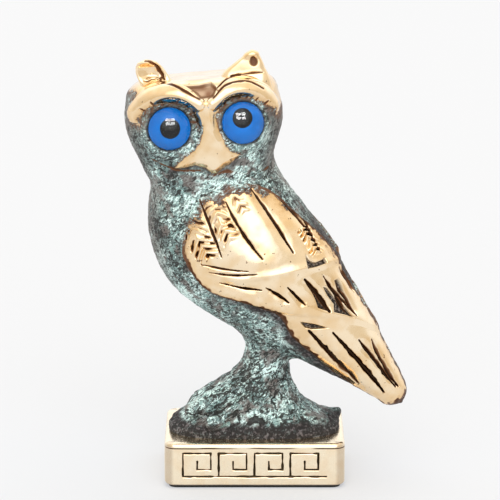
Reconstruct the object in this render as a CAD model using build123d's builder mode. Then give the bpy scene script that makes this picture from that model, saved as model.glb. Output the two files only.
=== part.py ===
"""Owl figurine: a cast bronze owl screwed onto a cast bronze plinth, with two set glass eyes.

The bird stands in profile with its breast towards -X and its tail towards +X, and has its head turned
so that its face looks towards -Y. +Z is up, and the origin is the centre of the felt's underside.
Sizes are in millimetres. The figure's own points are drawn for a bird of DRAWN_HEIGHT above the
plinth and grow with owl_height, while eyes, screws, plinth and felt keep the sizes given here.
"""

import os
from math import cos, radians, sin

from build123d import *

os.makedirs("parts", exist_ok=True)

# ---- plinth and felt ----
plinth_width = 34.4
plinth_depth = 24.0
plinth_height = 8.4
plinth_corner_radius = 2.2
plinth_top_round = 1.1
plinth_foot_round = 0.7
felt_thickness = 0.5
felt_inset = 0.9
felt_corner_radius = 1.6

# ---- key border cut into the plinth's front ----
key_count = 4
key_pitch = 6.8
key_height = 4.6
key_line_width = 0.45
key_depth = 0.3

# ---- the bird ----
owl_height = 74.6
head_roll = 4.6
wing_relief = 0.6
wing_edge_step = 0.985

# ---- glass eyes ----
eye_diameter = 8.0
eye_rim_thickness = 1.2
eye_dome_height = 1.5
pupil_diameter = 3.9
enamel_thickness = 0.5
eye_bedding_thickness = 0.8
eye_fit_clearance = 0.05
eye_proud = 0.5
stem_wire_diameter = 0.8
stem_loop_radius = 0.9
stem_straight_length = 2.0
stem_bore_diameter = 3.4
stem_bore_depth = 4.0

# ---- screws and washers ----
screw_spacing = 14.0
screw_diameter = 3.0
screw_head_diameter = 5.5
screw_head_height = 1.8
screw_slot_width = 0.8
screw_slot_depth = 0.9
screw_engagement = 5.0
thread_clearance = 0.02
screw_hole_clearance = 0.2
tapped_hole_spare = 1.0
washer_diameter = 6.0
washer_thickness = 0.5
head_recess_clearance = 0.3
head_recess_depth = 3.6

# ---- places that follow from the sizes ----
DRAWN_HEIGHT = 74.6
grow = owl_height / DRAWN_HEIGHT
plinth_bottom = felt_thickness
plinth_top = plinth_bottom + plinth_height
plinth_middle = plinth_bottom + plinth_height / 2
recess_roof = plinth_bottom + head_recess_depth
washer_underside = recess_roof - washer_thickness
screw_tip = plinth_top + screw_engagement
screw_places = [(-screw_spacing / 2, 0), (screw_spacing / 2, 0)]
socket_radius = eye_diameter / 2 + eye_fit_clearance
enamel_back = eye_bedding_thickness
glass_back = enamel_back + enamel_thickness
glass_edge = glass_back + eye_rim_thickness
glass_front = glass_edge + eye_dome_height
socket_depth = glass_edge - eye_proud
eye_dome_radius = ((eye_diameter / 2) ** 2 + eye_dome_height**2) / (2 * eye_dome_height)
sideways_on_face = Vector(cos(radians(head_roll)), 0, sin(radians(head_roll)))
upwards_on_face = Vector(-sin(radians(head_roll)), 0, cos(radians(head_roll)))

# Body sections from the neck to the tail tip: breast point (x, height), back point, half the depth.
BODY = [
    ((-18.6, 50.5), (3.4, 52.5), 9.4),
    ((-20.3, 41.0), (6.9, 47.3), 11.6),
    ((-18.4, 32.4), (10.9, 42.6), 12.8),
    ((-12.5, 25.5), (14.6, 37.4), 12.8),
    ((-4.7, 20.6), (17.7, 31.5), 11.9),
    ((3.6, 16.3), (20.4, 25.5), 10.2),
    ((11.0, 12.5), (23.1, 19.9), 8.4),
    ((18.6, 8.6), (25.9, 14.4), 6.2),
    ((23.6, 5.8), (28.0, 9.8), 4.0),
    ((26.2, 4.7), (28.3, 6.9), 1.9),
]
# Head sections from under the chin to the crown: height, middle x, half the width, half the depth.
HEAD = [
    (49.0, -8.3, 9.5, 8.6),
    (51.5, -8.5, 11.9, 10.2),
    (54.5, -8.8, 13.2, 11.2),
    (58.0, -9.2, 14.3, 12.0),
    (61.5, -9.5, 14.8, 12.2),
    (64.5, -9.6, 14.4, 12.0),
    (67.0, -9.6, 13.4, 11.1),
    (68.8, -9.6, 11.6, 9.3),
]
# Leg sections from inside the body down into the mound's slab: height, middle x, half width, half depth.
LEGS = [
    (20.5, 3.2, 5.4, 6.4),
    (15.5, 2.4, 4.1, 5.4),
    (12.6, 1.8, 4.7, 5.6),
    (10.4, 0.8, 5.9, 6.3),
    (8.0, -0.7, 8.5, 7.4),
    (5.4, -1.3, 11.0, 8.6),
    (1.4, -0.6, 13.8, 9.4),
]
slab_height = 2.4
slab_half_width = 15.3
slab_half_depth = 10.4
slab_corner_radius = 5.0
slab_taper = 12
# Toes as rods with round ends, repeated for both feet: (x, y, height) at the start and the end, radius.
TOES = [
    ((-2.6, 3.8, 7.4), (-11.0, 5.2, 3.8), 2.6),
    ((4.0, 4.2, 4.2), (14.9, 4.6, 2.9), 1.7),
]
# Ears: base inside the head, tip, base and tip radius, then the hollow's centre and radius.
EARS = [
    ((-18.4, -1.6, 64.0), (-20.4, -2.6, 70.3), 4.8, 2.5, (-20.2, -5.0, 70.6), 2.6),
    ((-2.4, -1.6, 65.0), (-0.6, -2.6, 72.7), 5.4, 1.9, (-0.4, -4.6, 72.4), 1.7),
]
# Eyes: centre of the rim on the face, then degrees turned towards +X and degrees upwards.
EYES = {
    "left": ((-2.0, -10.9, 62.1), 19.0, 8.0),
    "right": ((-15.9, -10.9, 61.0), -8.0, 8.0),
}
# Beak outline on the face, sideways and upwards from the point midway between the eyes.
FACE_CENTRE = (-8.95, -8.6, 61.6)
BEAK = [(-1.7, 4.8), (1.9, 4.8), (2.1, -2.6), (6.0, -5.7), (0.6, -9.4), (-6.8, -7.8), (-2.3, -3.2)]
beak_rise = 5.0
beak_taper = 10.0
beak_lean = 12.0
# Brow ridges: three points of an arc, sideways and upwards from the face's centre with their depth.
BROWS = [
    [(-0.9, -3.1, 3.9), (-6.2, -1.1, 6.2), (-12.2, 4.0, 3.6)],
    [(1.1, -3.1, 3.9), (6.4, -1.1, 6.2), (12.4, 4.0, 3.6)],
]
brow_radius = 1.6
# Wing outline (x, height): along the back from shoulder to tail tip, then back along the lower edge.
WING_TOP = [(-2.5, 47.5), (5.5, 46.0), (12.5, 35.0), (19.5, 24.0), (25.5, 11.5)]
WING_BOTTOM = [(19.0, 13.5), (10.0, 20.5), (-1.0, 25.0), (-10.5, 32.5), (-13.2, 40.5)]


def place(x, y, height):
    """A point of the figure, with its height measured up from the plinth's top."""
    return Vector(x * grow, y * grow, plinth_top + height * grow)


def on_face(sideways, forwards, upwards):
    """A point placed from the middle of the face, turned with the head's roll."""
    return (
        place(*FACE_CENTRE)
        + sideways_on_face * (sideways * grow)
        + Vector(0, forwards * grow, 0)
        + upwards_on_face * (upwards * grow)
    )


def body_section(front, back):
    """The plane across the body between two outline points, and half the distance between them."""
    low, high = place(front[0], 0, front[1]), place(back[0], 0, back[1])
    across = high - low
    plane = Plane(origin=(low + high) / 2, x_dir=across, z_dir=across.cross(Vector(0, 1, 0)))
    return plane, across.length / 2


def beak_plane():
    """The plane behind the beak: it leans back towards the chin and is rolled with the head."""
    lean = radians(beak_lean)
    forwards = Vector(0, -cos(lean), 0) - upwards_on_face * sin(lean)
    return Plane(origin=on_face(0, 0, 0), x_dir=sideways_on_face, z_dir=forwards)


def head_section(height, middle):
    """The plane across the head at this height, rolled with the head."""
    return Plane(origin=place(middle, 0, height), x_dir=sideways_on_face, z_dir=upwards_on_face)


def eye_plane(side, forward=0.0):
    """The plane across one eye, this far forward of its socket's floor."""
    centre, turn, rise = EYES[side]
    across, up = radians(turn), radians(rise)
    axis = Vector(sin(across) * cos(up), -cos(across) * cos(up), sin(up))
    return Plane(origin=place(*centre) + axis * (forward - socket_depth), x_dir=(0, 0, 1), z_dir=axis)


def meridian_of(plane):
    """The plane through another plane's normal, with that normal as its own Y."""
    return Plane(origin=plane.origin, x_dir=plane.x_dir, z_dir=-plane.y_dir)


# ================= owl casting =================
with BuildPart() as wing_blank:
    for front, back, depth in BODY:
        plane, half_width = body_section(front, back)
        with BuildSketch(plane):
            Ellipse(half_width * wing_edge_step, depth * grow + wing_relief)
    loft()

with BuildPart() as wings:
    with BuildSketch(Plane.XZ):
        with BuildLine():
            back_edge = Spline(*[(x * grow, plinth_top + h * grow) for x, h in WING_TOP])
            lower_edge = Spline(*[(x * grow, plinth_top + h * grow) for x, h in WING_BOTTOM])
            Line(back_edge @ 1, lower_edge @ 0)
            Line(lower_edge @ 1, back_edge @ 0)
        make_face()
    extrude(amount=owl_height / 2, both=True)
    add(wing_blank.part, mode=Mode.INTERSECT)

with BuildPart() as owl_casting:
    for front, back, depth in BODY:
        plane, half_width = body_section(front, back)
        with BuildSketch(plane):
            Ellipse(half_width, depth * grow)
    loft()
    for height, middle, half_width, half_depth in HEAD:
        with BuildSketch(head_section(height, middle)):
            Ellipse(half_width * grow, half_depth * grow)
    loft()
    for height, middle, half_width, half_depth in LEGS:
        with BuildSketch(Plane.XY.offset(plinth_top + height * grow)):
            with Locations((middle * grow, 0)):
                Ellipse(half_width * grow, half_depth * grow)
    loft()
    with BuildSketch(Plane.XY.offset(plinth_top)):
        RectangleRounded(2 * slab_half_width * grow, 2 * slab_half_depth * grow, slab_corner_radius * grow)
    extrude(amount=slab_height * grow, taper=slab_taper)
    add(wings.part)
    for foot in (-1, 1):
        for start, end, radius in TOES:
            toe_start = place(start[0], foot * start[1], start[2])
            toe_end = place(end[0], foot * end[1], end[2])
            with BuildSketch(Plane(origin=toe_start, z_dir=toe_end - toe_start)):
                Circle(radius * grow)
            extrude(amount=(toe_end - toe_start).length)
            with Locations(toe_end):
                Sphere(radius * grow)
    for base, tip, base_radius, tip_radius, hollow, hollow_radius in EARS:
        ear_base, ear_tip = place(*base), place(*tip)
        with BuildSketch(Plane(origin=ear_base, z_dir=ear_tip - ear_base)):
            Circle(base_radius * grow)
        with BuildSketch(Plane(origin=ear_tip, z_dir=ear_tip - ear_base)):
            Circle(tip_radius * grow)
        loft()
        with Locations(ear_tip):
            Sphere(tip_radius * grow)
        with Locations(place(*hollow)):
            Sphere(hollow_radius * grow, mode=Mode.SUBTRACT)
    with BuildSketch(beak_plane()):
        with BuildLine():
            Polyline(*[(x * grow, h * grow) for x, h in BEAK], close=True)
        make_face()
    extrude(amount=beak_rise * grow, taper=beak_taper)
    for points in BROWS:
        inner, middle_point, outer = [on_face(*point) for point in points]
        with BuildLine() as brow_line:
            ThreePointArc(inner, middle_point, outer)
        with BuildSketch(brow_line.line ^ 0):
            Circle(brow_radius * grow)
        sweep(path=brow_line.line)
        with Locations(inner, outer):
            Sphere(brow_radius * grow)
    for side in EYES:
        with BuildSketch(eye_plane(side)):
            Circle(socket_radius)
        extrude(amount=eye_diameter, mode=Mode.SUBTRACT)
        with Locations(eye_plane(side)):
            Hole(stem_bore_diameter / 2, depth=stem_bore_depth)
    with Locations(Plane(origin=(0, 0, plinth_top), z_dir=(0, 0, -1))):
        with Locations(*screw_places):
            Hole(screw_diameter / 2 + thread_clearance, depth=screw_engagement + tapped_hole_spare)

# ================= plinth =================
with BuildPart() as plinth:
    with BuildSketch(Plane.XY.offset(plinth_bottom)):
        RectangleRounded(plinth_width, plinth_depth, plinth_corner_radius)
    extrude(amount=plinth_height)
    fillet(plinth.faces().sort_by(Axis.Z)[-1].edges(), plinth_top_round)
    fillet(plinth.faces().sort_by(Axis.Z)[0].edges(), plinth_foot_round)
    with Locations(Plane(origin=(0, 0, plinth_bottom), z_dir=(0, 0, -1))):
        with Locations(*screw_places):
            CounterBoreHole(
                radius=screw_diameter / 2 + screw_hole_clearance,
                counter_bore_radius=washer_diameter / 2 + head_recess_clearance,
                counter_bore_depth=head_recess_depth,
                depth=plinth_height,
            )
    with BuildSketch(Plane(origin=(0, -plinth_depth / 2, plinth_middle), x_dir=(1, 0, 0), z_dir=(0, -1, 0))):
        for n in range(key_count):
            left = (n - key_count / 2) * key_pitch
            low, high = -key_height / 2, key_height / 2
            with BuildLine() as key_line:
                Polyline(
                    (left, low),
                    (left, high),
                    (left + 0.78 * key_pitch, high),
                    (left + 0.78 * key_pitch, low + 0.3 * key_height),
                    (left + 0.4 * key_pitch, low + 0.3 * key_height),
                    (left + 0.4 * key_pitch, low + 0.65 * key_height),
                )
                Polyline((left, low), (left + key_pitch, low))
            trace(key_line.line, key_line_width)
    extrude(amount=-key_depth, mode=Mode.SUBTRACT)

with BuildPart() as felt_pad:
    with BuildSketch(Plane.XY):
        RectangleRounded(plinth_width - 2 * felt_inset, plinth_depth - 2 * felt_inset, felt_corner_radius)
    extrude(amount=felt_thickness)

# ================= screws and washers =================
with BuildPart() as plinth_screws:
    with BuildSketch(Plane.XY.offset(washer_underside - screw_head_height)):
        with Locations(*screw_places):
            Circle(screw_head_diameter / 2)
    extrude(amount=screw_head_height)
    with BuildSketch(Plane.XY.offset(washer_underside)):
        with Locations(*screw_places):
            Circle(screw_diameter / 2)
    extrude(amount=screw_tip - washer_underside)
    with BuildSketch(Plane.XY.offset(washer_underside - screw_head_height)):
        with Locations(*screw_places):
            Rectangle(screw_head_diameter + 1, screw_slot_width)
    extrude(amount=screw_slot_depth, mode=Mode.SUBTRACT)

with BuildPart() as plinth_washers:
    with BuildSketch(Plane.XY.offset(washer_underside)):
        with Locations(*screw_places):
            Circle(washer_diameter / 2)
            Circle(screw_diameter / 2 + screw_hole_clearance, mode=Mode.SUBTRACT)
    extrude(amount=washer_thickness)

pieces = {
    "owl_casting": owl_casting.part,
    "plinth": plinth.part,
    "felt_pad": felt_pad.part,
    "plinth_screws": plinth_screws.part,
    "plinth_washers": plinth_washers.part,
}

# ================= glass eyes, the same stack in each socket =================
for side in EYES:
    with BuildPart() as eye_glass:
        with BuildSketch(meridian_of(eye_plane(side, glass_back))):
            with BuildLine():
                edge = eye_diameter / 2
                top = eye_rim_thickness + eye_dome_height
                Polyline((0, top), (0, 0), (edge, 0), (edge, eye_rim_thickness))
                RadiusArc((edge, eye_rim_thickness), (0, top), -eye_dome_radius)
            make_face()
        revolve(axis=Axis(eye_plane(side).origin, eye_plane(side).z_dir))

    with BuildPart() as eye_iris:
        with BuildSketch(eye_plane(side, enamel_back)):
            Circle(eye_diameter / 2)
            Circle(pupil_diameter / 2, mode=Mode.SUBTRACT)
        extrude(amount=enamel_thickness)

    with BuildPart() as eye_pupil:
        with BuildSketch(eye_plane(side, enamel_back)):
            Circle(pupil_diameter / 2)
        extrude(amount=enamel_thickness)

    with BuildPart() as eye_stem:
        loop_plane = meridian_of(eye_plane(side, enamel_back))
        with BuildLine(loop_plane) as stem_line:
            Line((-stem_loop_radius, 0), (-stem_loop_radius, -stem_straight_length))
            ThreePointArc(
                (-stem_loop_radius, -stem_straight_length),
                (0, -stem_straight_length - stem_loop_radius),
                (stem_loop_radius, -stem_straight_length),
            )
            Line((stem_loop_radius, -stem_straight_length), (stem_loop_radius, 0))
        stem_start = loop_plane.from_local_coords((-stem_loop_radius, 0))
        with BuildSketch(Plane(origin=stem_start, z_dir=-loop_plane.y_dir)):
            Circle(stem_wire_diameter / 2)
        sweep(path=stem_line.line)

    with BuildPart() as eye_bedding:
        with BuildSketch(eye_plane(side)):
            Circle(socket_radius)
        extrude(amount=eye_bedding_thickness)
        with BuildSketch(eye_plane(side, -stem_bore_depth)):
            Circle(stem_bore_diameter / 2)
        extrude(amount=stem_bore_depth)
        add(eye_stem.part, mode=Mode.SUBTRACT)

    pieces[f"{side}_eye_glass"] = eye_glass.part
    pieces[f"{side}_eye_iris"] = eye_iris.part
    pieces[f"{side}_eye_pupil"] = eye_pupil.part
    pieces[f"{side}_eye_stem"] = eye_stem.part
    pieces[f"{side}_eye_bedding"] = eye_bedding.part

for name, piece in pieces.items():
    piece.label = name
    export_step(piece, f"parts/{name}.step")
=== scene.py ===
"""Bronze owl figurine with glass eyes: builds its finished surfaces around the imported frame.

Sizes are in millimetres until a mesh is written. The figure's own places are (x, y, h): x from the
breast towards the tail, y away from the side that the face looks to, h above the plinth's top.
"""

from math import cos, pi, radians, sin

import bpy
import numpy as np
from bpy.props import FloatProperty, FloatVectorProperty, PointerProperty
from bpy.types import Operator, Panel, PropertyGroup
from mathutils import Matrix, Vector


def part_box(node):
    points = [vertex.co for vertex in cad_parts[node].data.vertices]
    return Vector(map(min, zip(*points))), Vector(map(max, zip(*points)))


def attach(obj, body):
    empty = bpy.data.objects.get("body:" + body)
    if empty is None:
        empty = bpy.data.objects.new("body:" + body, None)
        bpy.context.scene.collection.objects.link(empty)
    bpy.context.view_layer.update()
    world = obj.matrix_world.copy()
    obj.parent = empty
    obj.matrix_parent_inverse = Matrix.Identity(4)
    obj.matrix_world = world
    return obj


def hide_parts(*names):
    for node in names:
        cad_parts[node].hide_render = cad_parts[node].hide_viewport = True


bl_info = {
    "name": "Owl figurine",
    "version": (1, 0, 0),
    "blender": (4, 5, 0),
    "location": "3D View > Sidebar > Owl",
    "description": "Builds a patinated bronze owl with glass eyes on a polished plinth",
    "category": "Add Mesh",
}

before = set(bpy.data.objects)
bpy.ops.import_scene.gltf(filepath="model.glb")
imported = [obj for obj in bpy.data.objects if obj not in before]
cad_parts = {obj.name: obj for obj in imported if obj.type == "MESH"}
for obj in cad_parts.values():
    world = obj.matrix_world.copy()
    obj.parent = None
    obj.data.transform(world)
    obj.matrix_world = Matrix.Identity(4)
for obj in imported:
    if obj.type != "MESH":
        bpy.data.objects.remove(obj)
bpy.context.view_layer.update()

MM = 0.001
PLINTH_LOW, PLINTH_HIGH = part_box("plinth")
PLINTH_TOP = PLINTH_HIGH.z / MM
PLINTH_FOOT = PLINTH_LOW.z / MM

# The slanted side view in which lines on the figure are laid out.
SLANT = radians(14)

# Ways in space: along the body's straight axis from the neck to the tail tip, square to it, and sideways
ALONG = np.array([0.606, 0, -0.796])
ACROSS = np.array([0.796, 0, 0.606])
SIDEWAYS = np.array([0, 1, 0])
# Body: place along the axis, lower outline, upper outline, half the depth
BODY_SHAPE = np.array([
    (-54, 19.5, 26.0, 6.0), (-50, 13.6, 30.5, 8.2), (-45, 8.8, 33.3, 9.7), (-40, 6.1, 34.5, 11.4),
    (-35, 4.8, 34.1, 12.5), (-30, 5.0, 34.1, 12.9), (-25, 6.4, 34.0, 12.8), (-20, 8.3, 33.7, 12.4),
    (-15, 10.7, 32.8, 11.5), (-10, 13.1, 31.8, 10.4), (-5, 15.5, 30.9, 9.1), (0, 17.9, 30.1, 7.6),
    (5, 20.3, 29.2, 5.9), (9, 22.0, 28.5, 4.4), (12.2, 23.4, 27.3, 2.4), (13.6, 25.3, 25.6, 0.2),
])

# Head, rolled by a few degrees: height above the eyes, half the width, half the depth
HEAD_ROLL = radians(4.6)
HEAD_X = -9.6
EYE_LEVEL = 61.6
HEAD_SHAPE = np.array([
    (-20.0, 5.0, 4.0), (-16.0, 8.0, 6.4), (-13.0, 10.4, 8.4), (-10.0, 12.0, 10.0), (-8.7, 12.4, 10.5),
    (-6.3, 13.3, 11.2), (-4.0, 14.2, 11.8), (-1.6, 14.8, 12.1), (0.8, 14.8, 12.1), (3.1, 14.4, 11.9),
    (5.0, 14.0, 11.6), (6.6, 13.2, 11.2), (9.0, 12.0, 10.4),
])
HEAD_SQUARENESS = 2.4
HEAD_MIDDLE = np.array([HEAD_X, -0.5, 59.5])
# The crown's plane: height above the eyes near its front, and fall for each millimetre towards the back
CROWN_FRONT = 7.9
CROWN_FALL = 0.085

# Leg and mound: height, middle x, half the width, half the depth, squareness
FOOT_SHAPE = np.array([
    (0.0, -0.1, 16.4, 9.1, 3.0), (1.2, -0.1, 16.1, 9.0, 3.0), (2.2, -0.2, 15.0, 8.8, 2.9),
    (3.2, -0.5, 13.2, 8.4, 2.6), (5.4, -1.3, 10.8, 8.0, 2.3), (8.0, -0.7, 8.4, 7.1, 2.0),
    (10.4, 0.8, 5.9, 6.3, 2.0), (12.6, 1.8, 4.6, 5.6, 2.0), (15.5, 2.4, 4.2, 5.4, 2.0),
    (20.5, 3.2, 5.4, 6.4, 2.0), (24.0, 3.6, 5.4, 6.4, 2.0),
])
# Toes as round rods: start, end, radius at the start and at the end
TOES = [
    ((-2.6, -4.8, 9.2), (-11.7, -5.8, 4.9), 1.9, 1.7),
    ((-1.5, -6.6, 7.0), (-8.0, -9.0, 3.2), 1.6, 1.4),
    ((4.0, -4.4, 3.2), (13.6, -4.6, 1.4), 1.3, 0.9),
    ((-2.6, 4.4, 7.6), (-10.8, 5.6, 3.8), 1.9, 1.6),
    ((-1.5, 6.4, 5.8), (-8.0, 8.8, 2.4), 1.6, 1.4),
    ((4.0, 3.6, 2.2), (16.0, 3.4, 1.7), 1.1, 0.8),
]


# ---- Numbers on arrays ----
def through(knots, values, at):
    """Smooth curve through the knots: on each span a cubic whose end slopes are the mean slopes there."""
    slopes = np.gradient(values, knots)
    at = np.clip(at, knots[0], knots[-1])
    i = np.clip(np.searchsorted(knots, at) - 1, 0, len(knots) - 2)
    step = knots[i + 1] - knots[i]
    t = (at - knots[i]) / step
    start = values[i] * (1 + 2 * t) * (1 - t) ** 2 + step * slopes[i] * t * (1 - t) ** 2
    end = values[i + 1] * t * t * (3 - 2 * t) + step * slopes[i + 1] * t * t * (t - 1)
    return start + end


def read(table, at):
    """A table's columns, each as a smooth curve over the first one, at these places."""
    return [through(table[:, 0], column, at) for column in table.T[1:]]


def turns(count):
    """Angles once round, without the last."""
    return np.linspace(0, 2 * pi, count, endpoint=False)


def ease(low, high, value):
    """0 below low, 1 above high, and a smooth S between: 3t^2 - 2t^3."""
    t = np.clip((value - low) / (high - low), 0, 1)
    return t * t * (3 - 2 * t)


def merged(a, b, fillet):
    """Union of two distances with a fillet: the smaller, less (fillet - |a - b|)^2 / 4 fillet near a tie."""
    return np.minimum(a, b) - np.maximum(fillet - np.abs(a - b), 0) ** 2 / (4 * fillet)


def lumps(points, size, seed=0):
    """Smooth random lumps from -1 to 1: random values on a lattice of this size, blended between corners."""
    q = points / size + seed * 17.31
    cell = np.floor(q)
    f = q - cell
    f = f * f * (3 - 2 * f)
    total = 0
    for corner in np.ndindex(2, 2, 2):
        corner = np.array(corner)
        hashed = np.sin((cell + corner) @ np.array([127.1, 311.7, 74.7])) * 43758.5453
        weight = np.prod(np.where(corner == 1, f, 1 - f), axis=-1)
        total = total + weight * (hashed - np.floor(hashed))
    return 2 * total - 1


def along_line(points, u, v):
    """Distance to a broken line and the share of its length reached there, for places (u, v)."""
    line = np.array(points, float)
    lengths = np.hypot(*np.diff(line, axis=0).T)
    best = np.full(np.shape(u), 1e9)
    share = np.zeros(np.shape(u))
    for n, length in enumerate(lengths):
        (x0, y0), (x1, y1) = line[n], line[n + 1]
        t = np.clip(((u - x0) * (x1 - x0) + (v - y0) * (y1 - y0)) / length**2, 0, 1)
        gap = np.hypot(u - x0 - t * (x1 - x0), v - y0 - t * (y1 - y0))
        closer = gap < best
        best = np.where(closer, gap, best)
        share = np.where(closer, (lengths[:n].sum() + t * length) / lengths.sum(), share)
    return best, share


def inside(points, u, v):
    """Signed distance to a closed outline, positive inside: the gap to its edge, signed by crossings."""
    ring = np.array(points + points[:1], float)
    gap, _ = along_line(ring, u, v)
    odd = np.zeros(np.shape(u), bool)
    for (x0, y0), (x1, y1) in zip(ring[:-1], ring[1:]):
        spans = (y0 > v) != (y1 > v)
        reach = x0 + (v - y0) / np.where(y1 == y0, 1e-9, y1 - y0) * (x1 - x0)
        odd ^= spans & (u < reach)
    return np.where(odd, gap, -gap)


def rounded(points, steps=6):
    """The same broken line with more points, bent smoothly through the given ones."""
    line = np.array(points, float)
    knots = np.arange(len(line), dtype=float)
    at = np.linspace(0, len(line) - 1, steps * (len(line) - 1) + 1)
    return [tuple(p) for p in np.stack([through(knots, line[:, 0], at), through(knots, line[:, 1], at)], 1)]


def slanted(p):
    """Sideways place and slanted height of points: x, and h cos(slant) - |y| sin(slant)."""
    return p[..., 0], p[..., 2] * cos(SLANT) - np.abs(p[..., 1]) * sin(SLANT)


def on_face(p):
    """Place on the face, sideways and upwards from between the eyes, in the slanted view, unrolled."""
    x, t = slanted(p)
    across = x - FACE_X
    up = t - FACE_T
    return across * cos(HEAD_ROLL) + up * sin(HEAD_ROLL), up * cos(HEAD_ROLL) - across * sin(HEAD_ROLL)


FACE_X = -8.95
FACE_T = EYE_LEVEL * cos(SLANT) - 11.5 * sin(SLANT)


# ---- The owl's forms, as distances that are negative inside ----
def body_at(s):
    """Middle, half height and half depth of the body's oval at this place along its axis."""
    low, high, deep = read(BODY_SHAPE, s)
    return (low + high) / 2, (high - low) / 2, deep


def placed(along, across, aside):
    """Places or ways in space from their parts along, across and beside the body's axis."""
    parts = ((along, ALONG), (across, ACROSS), (aside, SIDEWAYS))
    return sum(np.asarray(part)[..., None] * way for part, way in parts)


def body_form(p):
    """Distance along the spoke of an oval: r - r/k, where k is the oval's own radius ratio at the point."""
    s = p[..., 0] * ALONG[0] + p[..., 2] * ALONG[2]
    n = p[..., 0] * ACROSS[0] + p[..., 2] * ACROSS[2]
    middle, half, deep = body_at(s)
    r = np.hypot(n - middle, p[..., 1]) + 1e-9
    k = np.hypot((n - middle) / half, p[..., 1] / deep) + 1e-9
    return np.maximum(r - r / k, np.maximum(s - BODY_SHAPE[-1, 0], BODY_SHAPE[0, 0] - s))


def oval_gap(a, b, r, square):
    """Distance to a squarish oval, r - r/k with k = (|a|^q + |b|^q)^(1/q), for places a and b given as shares
    of the oval's halves and r from its middle."""
    k = (np.abs(a) ** square + np.abs(b) ** square) ** (1 / square) + 1e-9
    r = r + 1e-9
    return r - r / k


def head_frame(p):
    """Sideways and upwards places in the rolled frame of the head."""
    x, h = p[..., 0] - HEAD_X, p[..., 2] - EYE_LEVEL
    return x * cos(HEAD_ROLL) + h * sin(HEAD_ROLL), h * cos(HEAD_ROLL) - x * sin(HEAD_ROLL)


def head_form(p):
    """Squarish ovals stacked up the head, cut by the crown's plane, which falls towards the back."""
    a, b = head_frame(p)
    wide, deep = read(HEAD_SHAPE, b)
    side = oval_gap(a / wide, p[..., 1] / deep, np.hypot(a, p[..., 1]), HEAD_SQUARENESS)
    top = b - CROWN_FRONT + CROWN_FALL * (p[..., 1] + 9)
    return np.maximum(-merged(-side, -top, 3.0), HEAD_SHAPE[0, 0] - b)


def foot_form(p):
    """Leg and mound as squarish ovals stacked up from the plinth."""
    h = p[..., 2]
    middle, wide, deep, square = read(FOOT_SHAPE, h)
    a = p[..., 0] - middle
    gap = oval_gap(a / wide, p[..., 1] / deep, np.hypot(a, p[..., 1]), square)
    return np.maximum(gap, h - FOOT_SHAPE[-1, 0])


def rod_form(p, start, end, start_radius, end_radius):
    """Distance to a round rod: the gap to its middle line less the radius there."""
    start, end = np.array(start, float), np.array(end, float)
    way = end - start
    t = np.clip(((p - start) @ way) / (way @ way), 0, 1)
    gap = np.linalg.norm(p - start - t[..., None] * way, axis=-1)
    return gap - start_radius - (end_radius - start_radius) * t


def toes_form(p):
    """All toes as one distance."""
    distance = rod_form(p, *TOES[0])
    for toe in TOES[1:]:
        distance = np.minimum(distance, rod_form(p, *toe))
    return distance


def standing_form(p):
    """Leg, mound and toes with small fillets between them."""
    return merged(foot_form(p), toes_form(p), 1.2)


def owl_form(p):
    """The whole bird: head, body and foot with a fillet at the neck and a wide one at the leg."""
    return merged(merged(head_form(p), body_form(p), 2.0), standing_form(p), 3.0)


SPOKE_STEPS = 28
SPOKE_HALVINGS = 11


def spokes(origins, ways, own_form, reach, longest, sink=0.0):
    """Where each spoke leaves the bird, found by equal steps out and then by halving the step. It also ends
    once it is this far outside its own piece's form."""
    def outside(r):
        p = origins + ways * r[..., None]
        return np.maximum(owl_form(p) + sink, own_form(p) - reach)

    low = np.zeros(origins.shape[:-1])
    high = np.full(origins.shape[:-1], float(longest))
    found = np.zeros(origins.shape[:-1], bool)
    for r in np.linspace(0, longest, SPOKE_STEPS)[1:]:
        out = outside(np.full(low.shape, r)) > 0
        high = np.where(out & ~found, r, high)
        found |= out
        low = np.where(found, low, r)
    for _ in range(SPOKE_HALVINGS):
        middle = (low + high) / 2
        out = outside(middle) > 0
        high = np.where(out, middle, high)
        low = np.where(out, low, middle)
    return origins + ways * ((low + high) / 2)[..., None]


def grid_normals(p):
    """Unit normals of a grid whose rows follow one another and whose columns close round."""
    down = np.gradient(p, axis=0)
    round_ = (np.roll(p, -1, 1) - np.roll(p, 1, 1)) / 2
    n = np.cross(round_, down)
    n /= np.linalg.norm(n, axis=-1, keepdims=True) + 1e-12
    outward = np.sum(n * (p - p.mean(1, keepdims=True)))
    return n if outward > 0 else -n


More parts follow.
